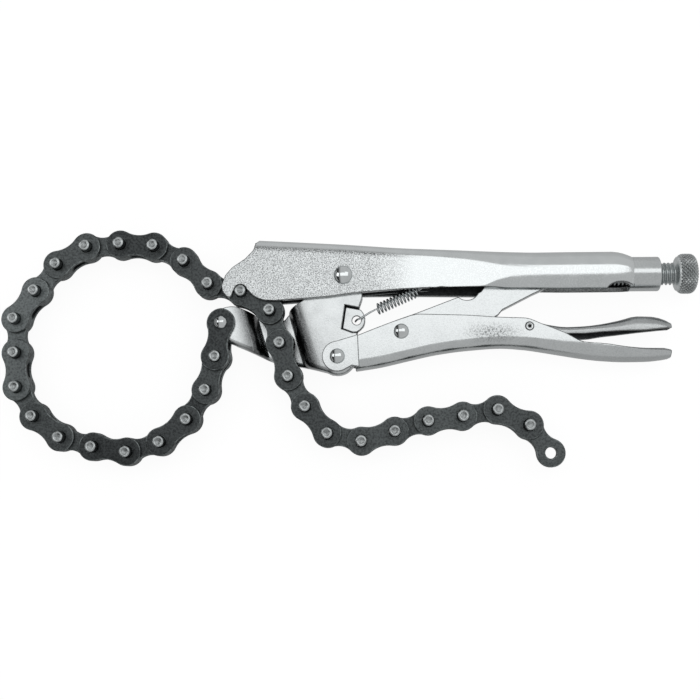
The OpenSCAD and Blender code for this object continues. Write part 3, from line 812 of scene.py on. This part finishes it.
# Lower handle: the ears round the jaw's pivot, and the lever pin's bore
EAR_RADIUS, EAR_START, EAR_END = 7, 96, 304
EAR_CORNERS = ((1.4, -43.1), (4, -41.7), (6.6, -42.2), (7.4, -42.3), (6.7, -27.3), (5.2, -27.9))
EAR_INNER, EAR_OUTER = 4.3, 6.8
LEVER_BORE = 1.75

# Release lever: what is cut from its near wall
LEVER_CUT = (
    (84, -36), (84, -27.2), (102, -27.3), (110, -27.3), (118, -26.6), (126, -26.2), (134, -26.1), (140, -26),
    (146, -36))
LEVER_CUT_FROM = 0.5

# Toggle link: its side view, walls, hollow and notch
TOGGLE_HALF, TOGGLE_WALL = 3.6, 2
TOGGLE_CORNERS = (
    (29.6, -31.4), (50, -26.6), (66, -21.6), (71, -18.4), (72.9, -16.1), (86.7, -9), (106, -0.3))
TOGGLE_END, TOGGLE_END_RADIUS = (105.3, 2.8), 3.2
TOGGLE_BACK = ((69, 0.6), (63.2, -7.6), (60.6, -9), (53.1, -9.9), (33.6, -17.3))
TOGGLE_OPEN = oblong(34, 96, -40, 20)
TOGGLE_LIFT = (-0.8, 2)
NOTCH, NOTCH_RADIUS = (56.7, -5.7), 5.8

# Lower jaw: the valley's two slopes on its near and far skin, its floors, the spring tab and the slot round it
JAW_HALF, JAW_SHEET, JAW_FOLD = 4.1, 2.4, 2.2
VALLEY_NEAR, VALLEY_FAR = ((-26, -6.9), (7.3, 26)), ((-19.3, -8.7), (9.1, 20.2))
FLOOR_NEAR, FLOOR_FAR = -9.2, -12
VALLEY_LEAN = math.radians(88.5)
JAW_TAB = ((1, -14.1), (-0.5, -24.2), (4.1, -25.9), (12, -25.9), (12, -16.2))
JAW_SLOT = ((0.7, -13.4), (-0.9, -24.5), (4, -26.3), (14, -26.3), (14, -16))
TAB_HOLE, FAR_HOLE, FAR_HOLE_SHIFT = 2, 2.4, (-0.13, 0.58)


def skin_masks(bm):
    """Marks the upper handle's smooth crown and tube, and paints shade along the line where the crown's bend begins."""
    plain, grime_and_painted_shade = bm.verts.layers.float.new("plain"), bm.verts.layers.float.new("grime_and_painted_shade")
    for vertex in bm.verts:
        x, y, _ = vertex.co
        pairs = [(a, b) for a, b in zip(UPPER_STATIONS, UPPER_STATIONS[1:]) if a[0] <= x <= b[0]]
        first, second = pairs[0] if pairs else UPPER_STATIONS[-2:]
        t = (x - first[0]) / (second[0] - first[0])
        bend = first[2] - first[4] + (second[2] - second[4] - first[2] + first[4]) * t
        vertex[plain] = max(share((y - bend) / 0.7), min(share((x - 12) / 24), 0.85))
        # Painted shade along the crease where the crown's bend begins, fading out towards the rear
        vertex[grime_and_painted_shade] = max(0, 1 - abs(y - bend + 0.1) / 1.3) * share((36 - x) / 22)


def upper_handle(sizes):
    """The upper handle: hook, folded walls, drawn tube and spring lug."""
    bm = channel(UPPER_STATIONS, mm(sizes.upper_sheet), UPPER_SHARES, 6)
    bm = combine(bm, block(UPPER_OUTLINE, -THROUGH, THROUGH, 0.7), "INTERSECT")
    bm = combine(bm, drum(HOOK, HOOK_RADIUS, -THROUGH, THROUGH), "DIFFERENCE")
    mouth = drum((0, 0), 1, 0, THROUGH)
    bmesh.ops.scale(mouth, vec=(*MOUTH_REACH, 1), verts=mouth.verts)
    move(mouth, *MOUTH)
    bm = combine(bm, mouth, "DIFFERENCE")
    skirt = block(FAR_SKIRT, SKIRT_FROM, SKIRT_TO, 0.6)
    # Painted shade: the skirt's faces inside the channel take the dark inside material
    for face in skirt.faces:
        face.material_index = INSIDE if face.normal.z > 0.5 else SKIN
    bm = combine(bm, skirt, "UNION")
    finish_sheet(bm, mm(sizes.rounding))
    # Painted shade: the far wall's lip at the rear takes the dark edge material
    for face in bm.faces:
        x, y, z = face.calc_center_median()
        far_lip = x > 66 and y < -4 and z < -2 and face.normal.z > 0.2
        if far_lip and face.material_index == SKIN:
            face.material_index = EDGE
    skin_masks(bm)
    lug = combine(block(LUG_CORNERS, -LUG_HALF, LUG_HALF), drum(LUG, LUG_HOLE, -5, 5), "DIFFERENCE")
    round_rims(lug, 0.2)
    shade_by_angle(lug)
    # Painted shade: the lug inside the channel is coloured dark all over
    paint(lug, INSIDE)
    add_part(bm, lug)
    return bm


def lower_handle(sizes):
    """The lower handle: channel with its crown down, and two ears round the jaw."""
    bm = channel(LOWER_STATIONS, mm(sizes.lower_sheet))
    flip(bm, 1, -1, 1)
    outline = arc(JAW_PIVOT, EAR_RADIUS, EAR_START, EAR_END, 40) + list(EAR_CORNERS)
    for low, high in ((EAR_INNER, EAR_OUTER), (-EAR_OUTER, -EAR_INNER)):
        bm = combine(bm, block(outline, low, high), "UNION")
    bm = combine(bm, drum(LEVER_PIVOT, LEVER_BORE, -THROUGH, THROUGH), "DIFFERENCE")
    finish_sheet(bm, mm(sizes.rounding))
    return bm


def release_lever(sizes):
    """The release lever: a thin channel, with painted shade along its top edge."""
    bm = channel(LEVER_STATIONS, mm(sizes.lever_sheet))
    bm = combine(bm, block(LEVER_CUT, LEVER_CUT_FROM, THROUGH), "DIFFERENCE")
    finish_sheet(bm, mm(sizes.rounding) * 0.75)
    grime_and_painted_shade = bm.verts.layers.float.new("grime_and_painted_shade")
    bm.normal_update()
    for vertex in bm.verts:
        # Painted shade on faces that face up in the side view, along the lever's top edge
        vertex[grime_and_painted_shade] = 0.85 * share((vertex.normal.y - 0.75) / 0.2)
    return bm


def toggle_link(sizes):
    """The toggle link: a channel open at the top, with round ends and a notch."""
    outline = arc(TOGGLE_PIVOT, 6, 109, 296, 30) + list(TOGGLE_CORNERS)
    outline += arc(TOGGLE_END, TOGGLE_END_RADIUS, -70, 98, 14) + list(TOGGLE_BACK)
    bm = block(outline, -TOGGLE_HALF, TOGGLE_HALF)
    room = TOGGLE_HALF - TOGGLE_WALL
    hollow = block([(x + TOGGLE_LIFT[0], y + TOGGLE_LIFT[1]) for x, y in outline], -room, room)
    hollow = combine(hollow, block(TOGGLE_OPEN, -THROUGH, THROUGH), "INTERSECT")
    # Painted shade: the toggle's hollow is coloured dark
    paint(hollow, INSIDE)
    bm = combine(bm, hollow, "DIFFERENCE")
    bm = combine(bm, drum(NOTCH, NOTCH_RADIUS, -THROUGH, THROUGH, 72), "DIFFERENCE")
    finish_sheet(bm, mm(sizes.rounding))
    return bm


def valley_line(top, bottom, spans, roll, power, steps=28):
    """The arm's line across its valley, as distance and height: a slow roll, then a steep fall to a flat floor."""
    left, right = spans
    points = [(-60, top)]
    for start, end in spans:
        for i in range(steps + 1):
            u = start + (end - start) * i / steps
            t = share(min((u - left[0]) / (left[1] - left[0]), (right[1] - u) / (right[1] - right[0])))
            points.append((u, top + (bottom - top) * (roll * t * t + (1 - roll) * t ** power)))
    return points + [(70, top)]


def valley_turn():
    """The direction across the valley, which lies under the first link of the tail."""
    first, second = PINS[LOOP], PINS[LOOP + 1]
    return math.atan2(second.y - first.y, second.x - first.x) + VALLEY_LEAN


def across_valley(outline):
    """A block that runs along the whole valley, from an outline of distance and height."""
    bm = block(outline, -80, 80)
    turn(bm, math.pi / 2, "X")
    turn(bm, valley_turn(), "Z")
    move(bm, PINS[LOOP].x, PINS[LOOP].y)
    return bm


def jaw_side(half, drop=0.0):
    """The jaw's side view as a block."""
    a, b = ANCHOR, JAW_PIVOT
    outline = (
        (a.x, a.y + 7), (a.x + 3.4, a.y + 7.8), (a.x + 6.6, a.y + 7.8), (a.x + 9.6, a.y + 6.5),
        (a.x + 15.6, a.y + 4.4), (-36, -19.6), (-28.4, -18.8), (-26.2, -15.8), (-21.4, -12.7), (-17.6, -10.3),
        (-8, 3), (7, 5), (8.7, 0), (8.7, -10.3), (7.3, -13.8), (6, -30), (5, -38), (b.x, b.y - 8.3),
        (-8.9, -44), (-17.4, -41.4), (-33.5, -38.6), (a.x + 13.2, a.y - 13), (a.x + 4.7, a.y - 9.6),
        (a.x - 2.5, a.y - 6.5))
    bm = block(outline, -half, half, 1.2)
    for place, radius in ((a, 7), ((0, 0), 8.7), (b, 8.4), ((3.6, -20), 6.3)):
        bm = combine(bm, drum(place, radius, -half, half, 72), "UNION")
    move(bm, 0, drop)
    return bm


def fold_edges(bm):
    """The jaw's lower edges, where its sheet is folded: all on the near skin, and those on the flat of the far skin."""
    fold = []
    for edge in bm.edges:
        if len(edge.link_faces) == 2:
            side, skin = sorted((f.normal for f in edge.link_faces), key=lambda n: abs(n.z))
            on_flat = all(abs(v.co.z + JAW_HALF) < 0.01 for v in edge.verts)
            if side.y < -0.55 and abs(side.z) < 0.04 and (skin.z > 0.05 or on_flat):
                fold.append(edge)
    return fold


def lower_jaw(sizes):
    """The lower jaw: folded sheet, valley for the chain's tail, and the pressed spring tab."""
    ribbon = valley_line(JAW_HALF, FLOOR_NEAR, VALLEY_NEAR, 0.14, 14)
    ribbon += valley_line(-JAW_HALF, FLOOR_FAR, VALLEY_FAR, 0, 1.8)[::-1]
    bm = combine(across_valley(ribbon), jaw_side(THROUGH), "INTERSECT")
    bmesh.ops.remove_doubles(bm, verts=bm.verts, dist=0.15)
    bmesh.ops.bevel(bm, geom=fold_edges(bm), offset=JAW_FOLD, offset_type="OFFSET", affect="EDGES", segments=5,
                    profile=0.5, material=-1, clamp_overlap=False)
    room = JAW_HALF - JAW_SHEET
    for start, end in ((-80, VALLEY_FAR[0][0] - 1), (VALLEY_FAR[1][1] + 1, 80)):
        hollow = combine(jaw_side(room, JAW_SHEET), across_valley(oblong(start, end, -20, 20)), "INTERSECT")
        # Painted shade: the jaw's hollows are coloured dark
        paint(hollow, INSIDE)
        bm = combine(bm, hollow, "DIFFERENCE")
    slot = block(JAW_SLOT, room - 0.1, 12)
    # Painted shade: the walls of the slot round the tab are coloured dark
    paint(slot, INSIDE)
    bm = combine(bm, slot, "DIFFERENCE")
    far_hole = (TAB.x + FAR_HOLE_SHIFT[0], TAB.y + FAR_HOLE_SHIFT[1])
    bm = combine(bm, drum(far_hole, FAR_HOLE, -10, -0.5), "DIFFERENCE")
    finish_sheet(bm, mm(sizes.rounding))
    tab = combine(block(JAW_TAB, room - 1.4, room + 0.2, 0.4), jaw_side(10), "INTERSECT")
    tab = combine(tab, drum(TAB, TAB_HOLE, 0, 10), "DIFFERENCE")
    finish_sheet(tab, mm(sizes.rounding))
    add_part(bm, tab)
    # Painted shade on the valley's slopes
    valley_grime(bm)
    return bm


def valley_grime(bm):
    """Paints shade on the valley's slopes, darkest at their feet; the valley's floor gets none."""
    grime_and_painted_shade = bm.verts.layers.float.new("grime_and_painted_shade")
    across = Vector((math.cos(valley_turn()), math.sin(valley_turn()), 0))
    bm.normal_update()
    for vertex in bm.verts:
        u = (vertex.co - PINS[LOOP]).dot(across)
        if vertex.normal.z > 0 and not VALLEY_NEAR[0][1] - 0.3 < u < VALLEY_NEAR[1][0] + 0.3:
            t = share((u + 18.5) / 8 if u < 0 else (16.3 - u) / 4.6)
            vertex[grime_and_painted_shade] = 0.95 * t * t * (3 - 2 * t)


class CLAMP_OT_sheets(bpy.types.Operator):
    """Builds the folded sheet pieces of the tool"""
    bl_idname = "clamp.sheets"
    bl_label = "Folded sheet"

    def execute(self, context):
        kinds, sizes = finishes(), context.scene.clamp_tool
        for make, finish in ((upper_handle, "nickel_grainy"), (lower_jaw, "nickel_grimy"),
                             (lower_handle, "nickel_smudged"), (toggle_link, "nickel_satin"),
                             (release_lever, "nickel_dull")):
            node = make.__name__
            place_piece("%s_sheet" % node, make(sizes),
                        [kinds[finish], kinds["dull_inside"], kinds["nickel_edge"]], "plated_steel", node, node)
        return {"FINISHED"}


# Rivets

# Node, place, shank radius, half grip, head diameter, rise of the head, body, slot
RIVETS = (
    ("main_rivet", Vector(), 3, 7.0, 8.6, 2.1, "upper_handle", "rivet"),
    ("jaw_rivet", JAW_PIVOT, 2.5, 6.85, 7, 1.9, "lower_handle", "rivet"),
    ("toggle_rivet", TOGGLE_PIVOT, 2.5, 6.35, 7, 1.9, "lower_handle", "rivet"),
    ("anchor_rivet", ANCHOR, 2.54, 6.35, 6.6, 2.6, "lower_jaw", "rivet_dark"))
LEVER_PIN_END = ((0, 5.9), (0.6, 5.95), (0.72, 6.7), (0.85, 6.8), (1.5, 6.8), (1.7, 6.6))
LEVER_PIN_HOLE = 0.66


def dome_rivet(shank, grip, head, rise):
    """A rivet along z with two round heads."""
    dome = [(0, grip + rise)]
    for step in range(1, 9):
        angle = math.radians(90 - 10.5 * step)
        dome.append((head / 2 * math.cos(angle), grip + rise * math.sin(angle)))
    return turned_both_ways(dome + [(head / 2, grip + 0.05), (head / 2 - 0.15, grip), (shank, grip)], 48)


class CLAMP_OT_rivets(bpy.types.Operator):
    """Builds the rivets and the lever's pin"""
    bl_idname = "clamp.rivets"
    bl_label = "Rivets"

    def execute(self, context):
        kinds = finishes()
        for node, place, shank, grip, head, rise, body, slot in RIVETS:
            bm = dome_rivet(shank, grip, head, rise)
            move(bm, place.x, place.y)
            shade_by_angle(bm, 50)
            place_piece("%s_head" % node, bm, [kinds["bright_rivet"]], slot, body, node)
        bm = turned_both_ways(LEVER_PIN_END, 36)
        # Painted shade: the small hole in the pin's end is coloured dark
        for face in bm.faces:
            hole = face.calc_center_median().xy.length < LEVER_PIN_HOLE
            face.material_index = INSIDE if hole else SKIN
        move(bm, LEVER_PIVOT.x, LEVER_PIVOT.y)
        shade_by_angle(bm, 40)
        place_piece("lever_pin_turned", bm, [kinds["nickel_satin"], kinds["dull_inside"]], "rivet",
                    "lower_handle", "lever_pin")
        return {"FINISHED"}


# Screw

AXIS_Y = 0.5
COLLAR_TUCK = 1.9  # how far the collar reaches into the tube
THREAD_DEPTH = 1
# Radius and height of the knob from its front face, which stands KNOB_FROM before the CAD screw's end
KNOB_FROM = 9.5
KNOB_NECK = ((0, 0), (7.2, 0), (7.7, 0.3), (7.8, 0.7))
KNOB_GRIP = (
    (8.1, 1), (8.75, 1.6), (9.1, 2.35), (9.2, 3.15), (9.2, 3.95), (9.2, 4.75), (9.2, 5.55), (9.15, 6.35),
    (8.95, 7.1), (8.5, 7.8), (7.8, 8.4), (6.8, 8.85))
KNOB_CAP = ((5, 9.15), (0, 9.2))
KNURL_DEPTH = 0.5


def along_x(bm, x):
    """Lays a turned part along the screw's axis, from x."""
    turn(bm, math.pi / 2, "Y")
    move(bm, x, AXIS_Y)


def node_reach(node, drawn_in=0.0):
    """A turned node's start and end along x, and its radius, in tool millimetres."""
    low, high = ((Vector(c) - TOOL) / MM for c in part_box(node))
    return low.x - drawn_in, high.x - drawn_in, (high.y - low.y) / 2


def collar(sizes):
    """The collar that the screw turns in, with a rounded rim."""
    start, end, outer = node_reach("screw_collar", mm(sizes.draw_in))
    length, bore = end - start, mm(sizes.screw) / 2 + 0.1
    bm = turned([(bore, -COLLAR_TUCK), (outer, -COLLAR_TUCK), (outer, length - 0.6), (outer - 0.2, length - 0.2),
                 (outer - 0.6, length), (bore + 0.5, length), (bore, length - 0.5), (bore, -COLLAR_TUCK)], 64)
    along_x(bm, start)
    shade_by_angle(bm)
    return bm


def thread(radius, depth, pitch, length, steps=28):
    """A closed helical thread along z, swept by a spin that rises."""
    bm = bmesh.new()
    root, crest = radius - depth, radius - 0.08
    outline = line(bm, [(root, 0, 0), (root, 0, pitch * 0.12), (crest, 0, pitch * 0.46), (crest, 0, pitch * 0.66),
                        (root, 0, pitch)])
    turns = math.ceil(length / pitch)
    bmesh.ops.spin(bm, geom=outline, cent=(0, 0, 0), axis=(0, 0, 1), dvec=(0, 0, pitch / steps),
                   angle=math.tau * turns, steps=steps * turns)
    bmesh.ops.remove_doubles(bm, verts=bm.verts, dist=1e-3)
    for height, way in ((pitch, -1), (length, 1)):
        bmesh.ops.bisect_plane(bm, geom=bm.verts[:] + bm.edges[:] + bm.faces[:], plane_co=(0, 0, height),
                               plane_no=(0, 0, way), clear_outer=True)
    bmesh.ops.holes_fill(bm, edges=[e for e in bm.edges if e.is_boundary], sides=0)
    bmesh.ops.recalc_face_normals(bm, faces=bm.faces)
    return bm


def knob(diameter, knurls):
    """A barrel knob with a diamond knurl: every other point of the grip's net is pressed in and painted darker, as
    painted shade in the hollows.
    """
    grow = diameter / 2 / max(r for r, _ in KNOB_GRIP)
    bm = turned([(r * grow, z) for r, z in KNOB_NECK + KNOB_GRIP + KNOB_CAP], 2 * knurls)
    heights = [z for _, z in KNOB_GRIP]
    pressed = []
    grime_and_painted_shade = bm.verts.layers.float.new("grime_and_painted_shade")
    for vertex in bm.verts:
        rows = [i for i, z in enumerate(heights) if abs(vertex.co.z - z) < 0.01]
        around = round(math.atan2(vertex.co.y, vertex.co.x) / math.tau * 2 * knurls)
        if rows and (around + rows[0]) % 2:
            vertex.co.xy *= 1 - KNURL_DEPTH / vertex.co.xy.length
            # Painted shade in the knurl's hollows
            vertex[grime_and_painted_shade] = 0.6
            pressed.append(vertex)
    bmesh.ops.connect_verts(bm, verts=pressed)
    return bm


def adjusting_screw(sizes):
    """The threaded shank and, as material 1, its knurled knob."""
    start, end, _ = node_reach("adjusting_screw", mm(sizes.draw_in))
    pitch = mm(sizes.thread)
    bm = bmesh.new()
    shank = thread(mm(sizes.screw) / 2, THREAD_DEPTH, pitch, end - start - KNOB_FROM + 1)
    along_x(shank, start - pitch)
    add_part(bm, shank)
    grip = knob(mm(sizes.knob), sizes.knurls)
    along_x(grip, end - KNOB_FROM)
    paint(grip, 1)
    add_part(bm, grip)
    shade_by_angle(bm, 22)
    return bm


def screw_nose():
    """The screw's plain front end, with a chamfer."""
    start, end, outer = node_reach("screw_nose")
    length = end - start
    bm = turned([(0, 0), (outer - 0.5, 0), (outer, 0.5), (outer, length), (0, length)], 40)
    along_x(bm, start)
    shade_by_angle(bm)
    return bm


class CLAMP_OT_screw(bpy.types.Operator):
    """Builds the collar, the adjusting screw and its nose"""
    bl_idname = "clamp.screw"
    bl_label = "Adjusting screw"

    def execute(self, context):
        kinds, sizes = finishes(), context.scene.clamp_tool
        place_piece("screw_collar_turned", collar(sizes), [kinds["nickel_satin"]], "plated_steel", "upper_handle",
                    "screw_collar")
        place_piece("adjusting_screw_knurled", adjusting_screw(sizes), [kinds["zinc_screw"], kinds["zinc_knurl"]],
                    "screw", "adjusting_screw", "adjusting_screw")
        place_piece("screw_nose_turned", screw_nose(), [kinds["zinc_screw"]], "screw", "screw_nose", "screw_nose")
        return {"FINISHED"}


# Spring

COIL_START, COIL_END, COIL_RADIUS = Vector((15.4, -15.3, 0.9)), Vector((34.8, -6.6, 0.4)), 2.3
# The hook through the tab, from the tab's hole, and the leg from it to the coil
TAB_HOOK = ((-0.6, -0.2, -0.9), (-0.5, -0.2, 0.6), (-0.1, 0, 2.2), (0.3, 0.2, 2.85), (0.9, 0.4, 3.25), (2.4, 1, 3.55))
TAB_LEG = (12, -17.1, 3.45)
# The leg from the coil to the lug, and the hook through the lug, from the lug's hole
LUG_LEG = ((36.2, -5.6, 2), (38, -4.6, 1.6), (47.6, -2.6, 1.6))
LUG_HOOK = ((-0.1, 0, 1.2), (0, 0, 0), (0, 0, -1.6))


def spring_route(curls, steps=16):
    """The wire's route: hook through the tab, straight leg, coil, straight leg and hook through the lug."""
    axis = COIL_END - COIL_START
    side = Vector((-axis.y, axis.x, 0)).normalized()
    points = [TAB + Vector(p) for p in TAB_HOOK] + [Vector(TAB_LEG)]
    for i in range(curls * steps + 1):
        angle = math.tau * i / steps + math.pi / 2
        points.append(COIL_START + axis * i / (curls * steps)
                      + COIL_RADIUS * (math.sin(angle) * Vector((0, 0, 1)) + math.cos(angle) * side))
    return points + [Vector(p) for p in LUG_LEG] + [LUG + Vector(p) for p in LUG_HOOK]


def wire_tube(route, radius):
    """A closed round tube along a route."""
    curve = bpy.data.curves.new("spring_route", "CURVE")
    curve.dimensions = "3D"
    curve.bevel_depth = radius
    curve.bevel_resolution = 2
    curve.use_fill_caps = True
    spline = curve.splines.new("POLY")
    spline.points.add(len(route) - 1)
    for point, place in zip(spline.points, route):
        point.co = (*place, 1)
    holder = new_object("spring_route", curve)
    bm = made_shape(holder)
    bpy.data.objects.remove(holder)
    bpy.data.curves.remove(curve)
    bmesh.ops.remove_doubles(bm, verts=bm.verts, dist=1e-4)
    bmesh.ops.recalc_face_normals(bm, faces=bm.faces)
    return bm


class CLAMP_OT_spring(bpy.types.Operator):
    """Builds the jaw's extension spring"""
    bl_idname = "clamp.spring"
    bl_label = "Jaw spring"

    def execute(self, context):
        kinds, sizes = finishes(), context.scene.clamp_tool
        bm = wire_tube(spring_route(sizes.curls), mm(sizes.wire) / 2)
        shade_by_angle(bm, 60)
        spring = place_piece("jaw_spring_coil", bm, [kinds["spring_wire"]], "spring", None, "jaw_spring")
        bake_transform(spring)
        return {"FINISHED"}


# Stage

FLOOR_RADIUS, FLOOR_DROP = 4.0, 0.0002
# What the camera sees of the floor, and what the metal mirrors of it from front to back
FLOOR_SEEN, FLOOR_MIRRORED = 1.15, (0.36, 0.46, -0.03, 0.12)
# Name, place, point it faces, size, share of the stage's radiance
SOFTBOXES = (
    ("softbox_over", (0.13, 0.2, 0.95), (0.13, 0.2, 0), (0.96, 0.33), 1),
    ("softbox_rear", (0.43, 0.44, 0.95), (0.43, 0.44, 0), (0.5, 0.15), 1),
    ("softbox_left", (-0.72, 0.2, 0.85), (0, 0, 0), (0.46, 0.44), 1.8),
    ("softbox_low", (-1.6, -0.1, 0.62), (0, 0, 0), (3.0, 0.7), 0.42))


def axis_of(tree, vector, axis):
    """One axis of a vector."""
    split = tree.nodes.new("ShaderNodeSeparateXYZ")
    feed(tree, split.inputs["Vector"], vector)
    return split.outputs[axis]


def floor_material():
    """White to the camera, with the tool's shadow, and grey where the metal mirrors it."""
    material = bpy.data.materials.new("white_floor")
    material.use_nodes = True
    tree = material.node_tree
    tree.nodes.remove(tree.nodes["Principled BSDF"])
    path = tree.nodes.new("ShaderNodeLightPath").outputs
    place = tree.nodes.new("ShaderNodeNewGeometry").outputs["Position"]
    mirrored = map_range(tree, axis_of(tree, place, "Y"), *FLOOR_MIRRORED)
    white = tree.nodes.new("ShaderNodeEmission")
    feed(tree, white.inputs["Color"], WHITE)
    feed(tree, white.inputs["Strength"], mix_values(tree, path["Is Camera Ray"], mirrored, FLOOR_SEEN))
    matt = tree.nodes.new("ShaderNodeBsdfDiffuse")
    feed(tree, matt.inputs["Color"], (0.9, 0.9, 0.9, 1))
    shown = reckon(tree, "MULTIPLY_ADD", path["Is Camera Ray"], 0.8, path["Is Glossy Ray"])
    both = tree.nodes.new("ShaderNodeMixShader")
    for socket, value in zip(both.inputs, (shown, matt.outputs["BSDF"], white.outputs["Emission"])):
        feed(tree, socket, value)
    feed(tree, tree.nodes["Material Output"].inputs["Surface"], both.outputs["Shader"])
    return material


def studio_floor():
    """A wide pale floor that keeps the tool's shadow."""
    bm = bmesh.new()
    bmesh.ops.create_circle(bm, segments=96, radius=FLOOR_RADIUS, cap_ends=True)
    move(bm, 0, 0, CAD_BOX[0][2] - FLOOR_DROP)
    floor = new_object("studio_floor", new_mesh("studio_floor", bm))
    floor.data.materials.append(floor_material())


def studio_world(strength):
    """Even grey light, dark at the left and lighter behind the tool."""
    world = bpy.data.worlds.new("studio_world")
    bpy.context.scene.world = world
    world.use_nodes = True
    tree = world.node_tree
    place = tree.nodes.new("ShaderNodeTexCoord").outputs["Generated"]
    from_left = map_range(tree, axis_of(tree, place, "X"), 0.06, 1.0, -0.6, -0.22, smooth=True)
    from_front = map_range(tree, axis_of(tree, place, "Y"), 0.98, 1.05, -0.3, 0.7, smooth=True)
    level = reckon(tree, "MULTIPLY", from_left, strength)
    background = tree.nodes["Background"]
    feed(tree, background.inputs["Strength"], reckon(tree, "MULTIPLY", from_front, level))
    feed(tree, background.inputs["Color"], WHITE)


def softbox(name, place, aim, size, radiance):
    """A flat softbox that faces a point."""
    lamp = bpy.data.lights.new(name, "AREA")
    lamp.shape = "RECTANGLE"
    lamp.size, lamp.size_y = size
    lamp.energy = radiance * math.pi * size[0] * size[1]
    holder = new_object(name, lamp)
    holder.location = place
    holder.rotation_euler = (Vector(aim) - Vector(place)).to_track_quat("-Z", "Y").to_euler()


def studio_camera(stage):
    """The camera at the photograph's angle."""
    azimuth, elevation, roll = stage.azimuth, stage.elevation, stage.roll
    back = Vector((math.sin(azimuth) * math.cos(elevation), -math.cos(azimuth) * math.cos(elevation),
                   math.sin(elevation)))
    up = Vector((-math.sin(azimuth) * math.sin(elevation), math.cos(azimuth) * math.sin(elevation),
                 math.cos(elevation)))
    right = up.cross(back)
    rolled_right = math.cos(roll) * right + math.sin(roll) * up
    rolled_up = -math.sin(roll) * right + math.cos(roll) * up
    lens = bpy.data.cameras.new("studio_camera")
    lens.sensor_width = 36
    lens.lens = stage.lens
    lens.clip_start = 0.01
    camera = new_object("studio_camera", lens)
    axes = Matrix((rolled_right, rolled_up, back)).transposed().to_4x4()
    camera.matrix_world = Matrix.Translation(Vector(stage.target) + back * stage.distance) @ axes
    bpy.context.scene.camera = camera


class CLAMP_OT_stage(bpy.types.Operator):
    """Sets the floor, the light and the camera"""
    bl_idname = "clamp.stage"
    bl_label = "Stage"

    def execute(self, context):
        stage = context.scene.clamp_stage
        studio_floor()
        studio_world(stage.world)
        for name, place, aim, size, part in SOFTBOXES:
            softbox(name, place, aim, size, stage.softbox * part)
        studio_camera(stage)
        context.scene.view_settings.view_transform = "Standard"
        return {"FINISHED"}


class CLAMP_PT_panel(bpy.types.Panel):
    """Lists the build steps of the chain clamp, with its sizes and colours"""
    bl_idname = "CLAMP_PT_panel"
    bl_label = "Chain Clamp"
    bl_space_type = "VIEW_3D"
    bl_region_type = "UI"
    bl_category = "Chain Clamp"

    def draw(self, context):
        for step in STEPS:
            self.layout.operator(step.bl_idname)
        for group in GROUPS:
            sizes = getattr(context.scene, group)
            for name in sizes.__annotations__:
                self.layout.prop(sizes, name)


STEPS = (CLAMP_OT_chain, CLAMP_OT_sheets, CLAMP_OT_rivets, CLAMP_OT_screw, CLAMP_OT_spring, CLAMP_OT_stage)
GROUPS = {"clamp_chain": ChainSizes, "clamp_tool": ToolSizes, "clamp_finish": FinishColours,
          "clamp_stage": StageSizes}


def register():
    for kind in (*GROUPS.values(), *STEPS, CLAMP_PT_panel):
        bpy.utils.register_class(kind)
    for name, kind in GROUPS.items():
        setattr(bpy.types.Scene, name, PointerProperty(type=kind))


def unregister():
    for name in GROUPS:
        delattr(bpy.types.Scene, name)
    for kind in (CLAMP_PT_panel, *reversed(STEPS), *GROUPS.values()):
        bpy.utils.unregister_class(kind)


def main():
    register()
    bpy.ops.clamp.chain()
    bpy.ops.clamp.sheets()
    bpy.ops.clamp.rivets()
    bpy.ops.clamp.screw()
    bpy.ops.clamp.spring()
    bpy.ops.clamp.stage()


if __name__ == "__main__":
    main()
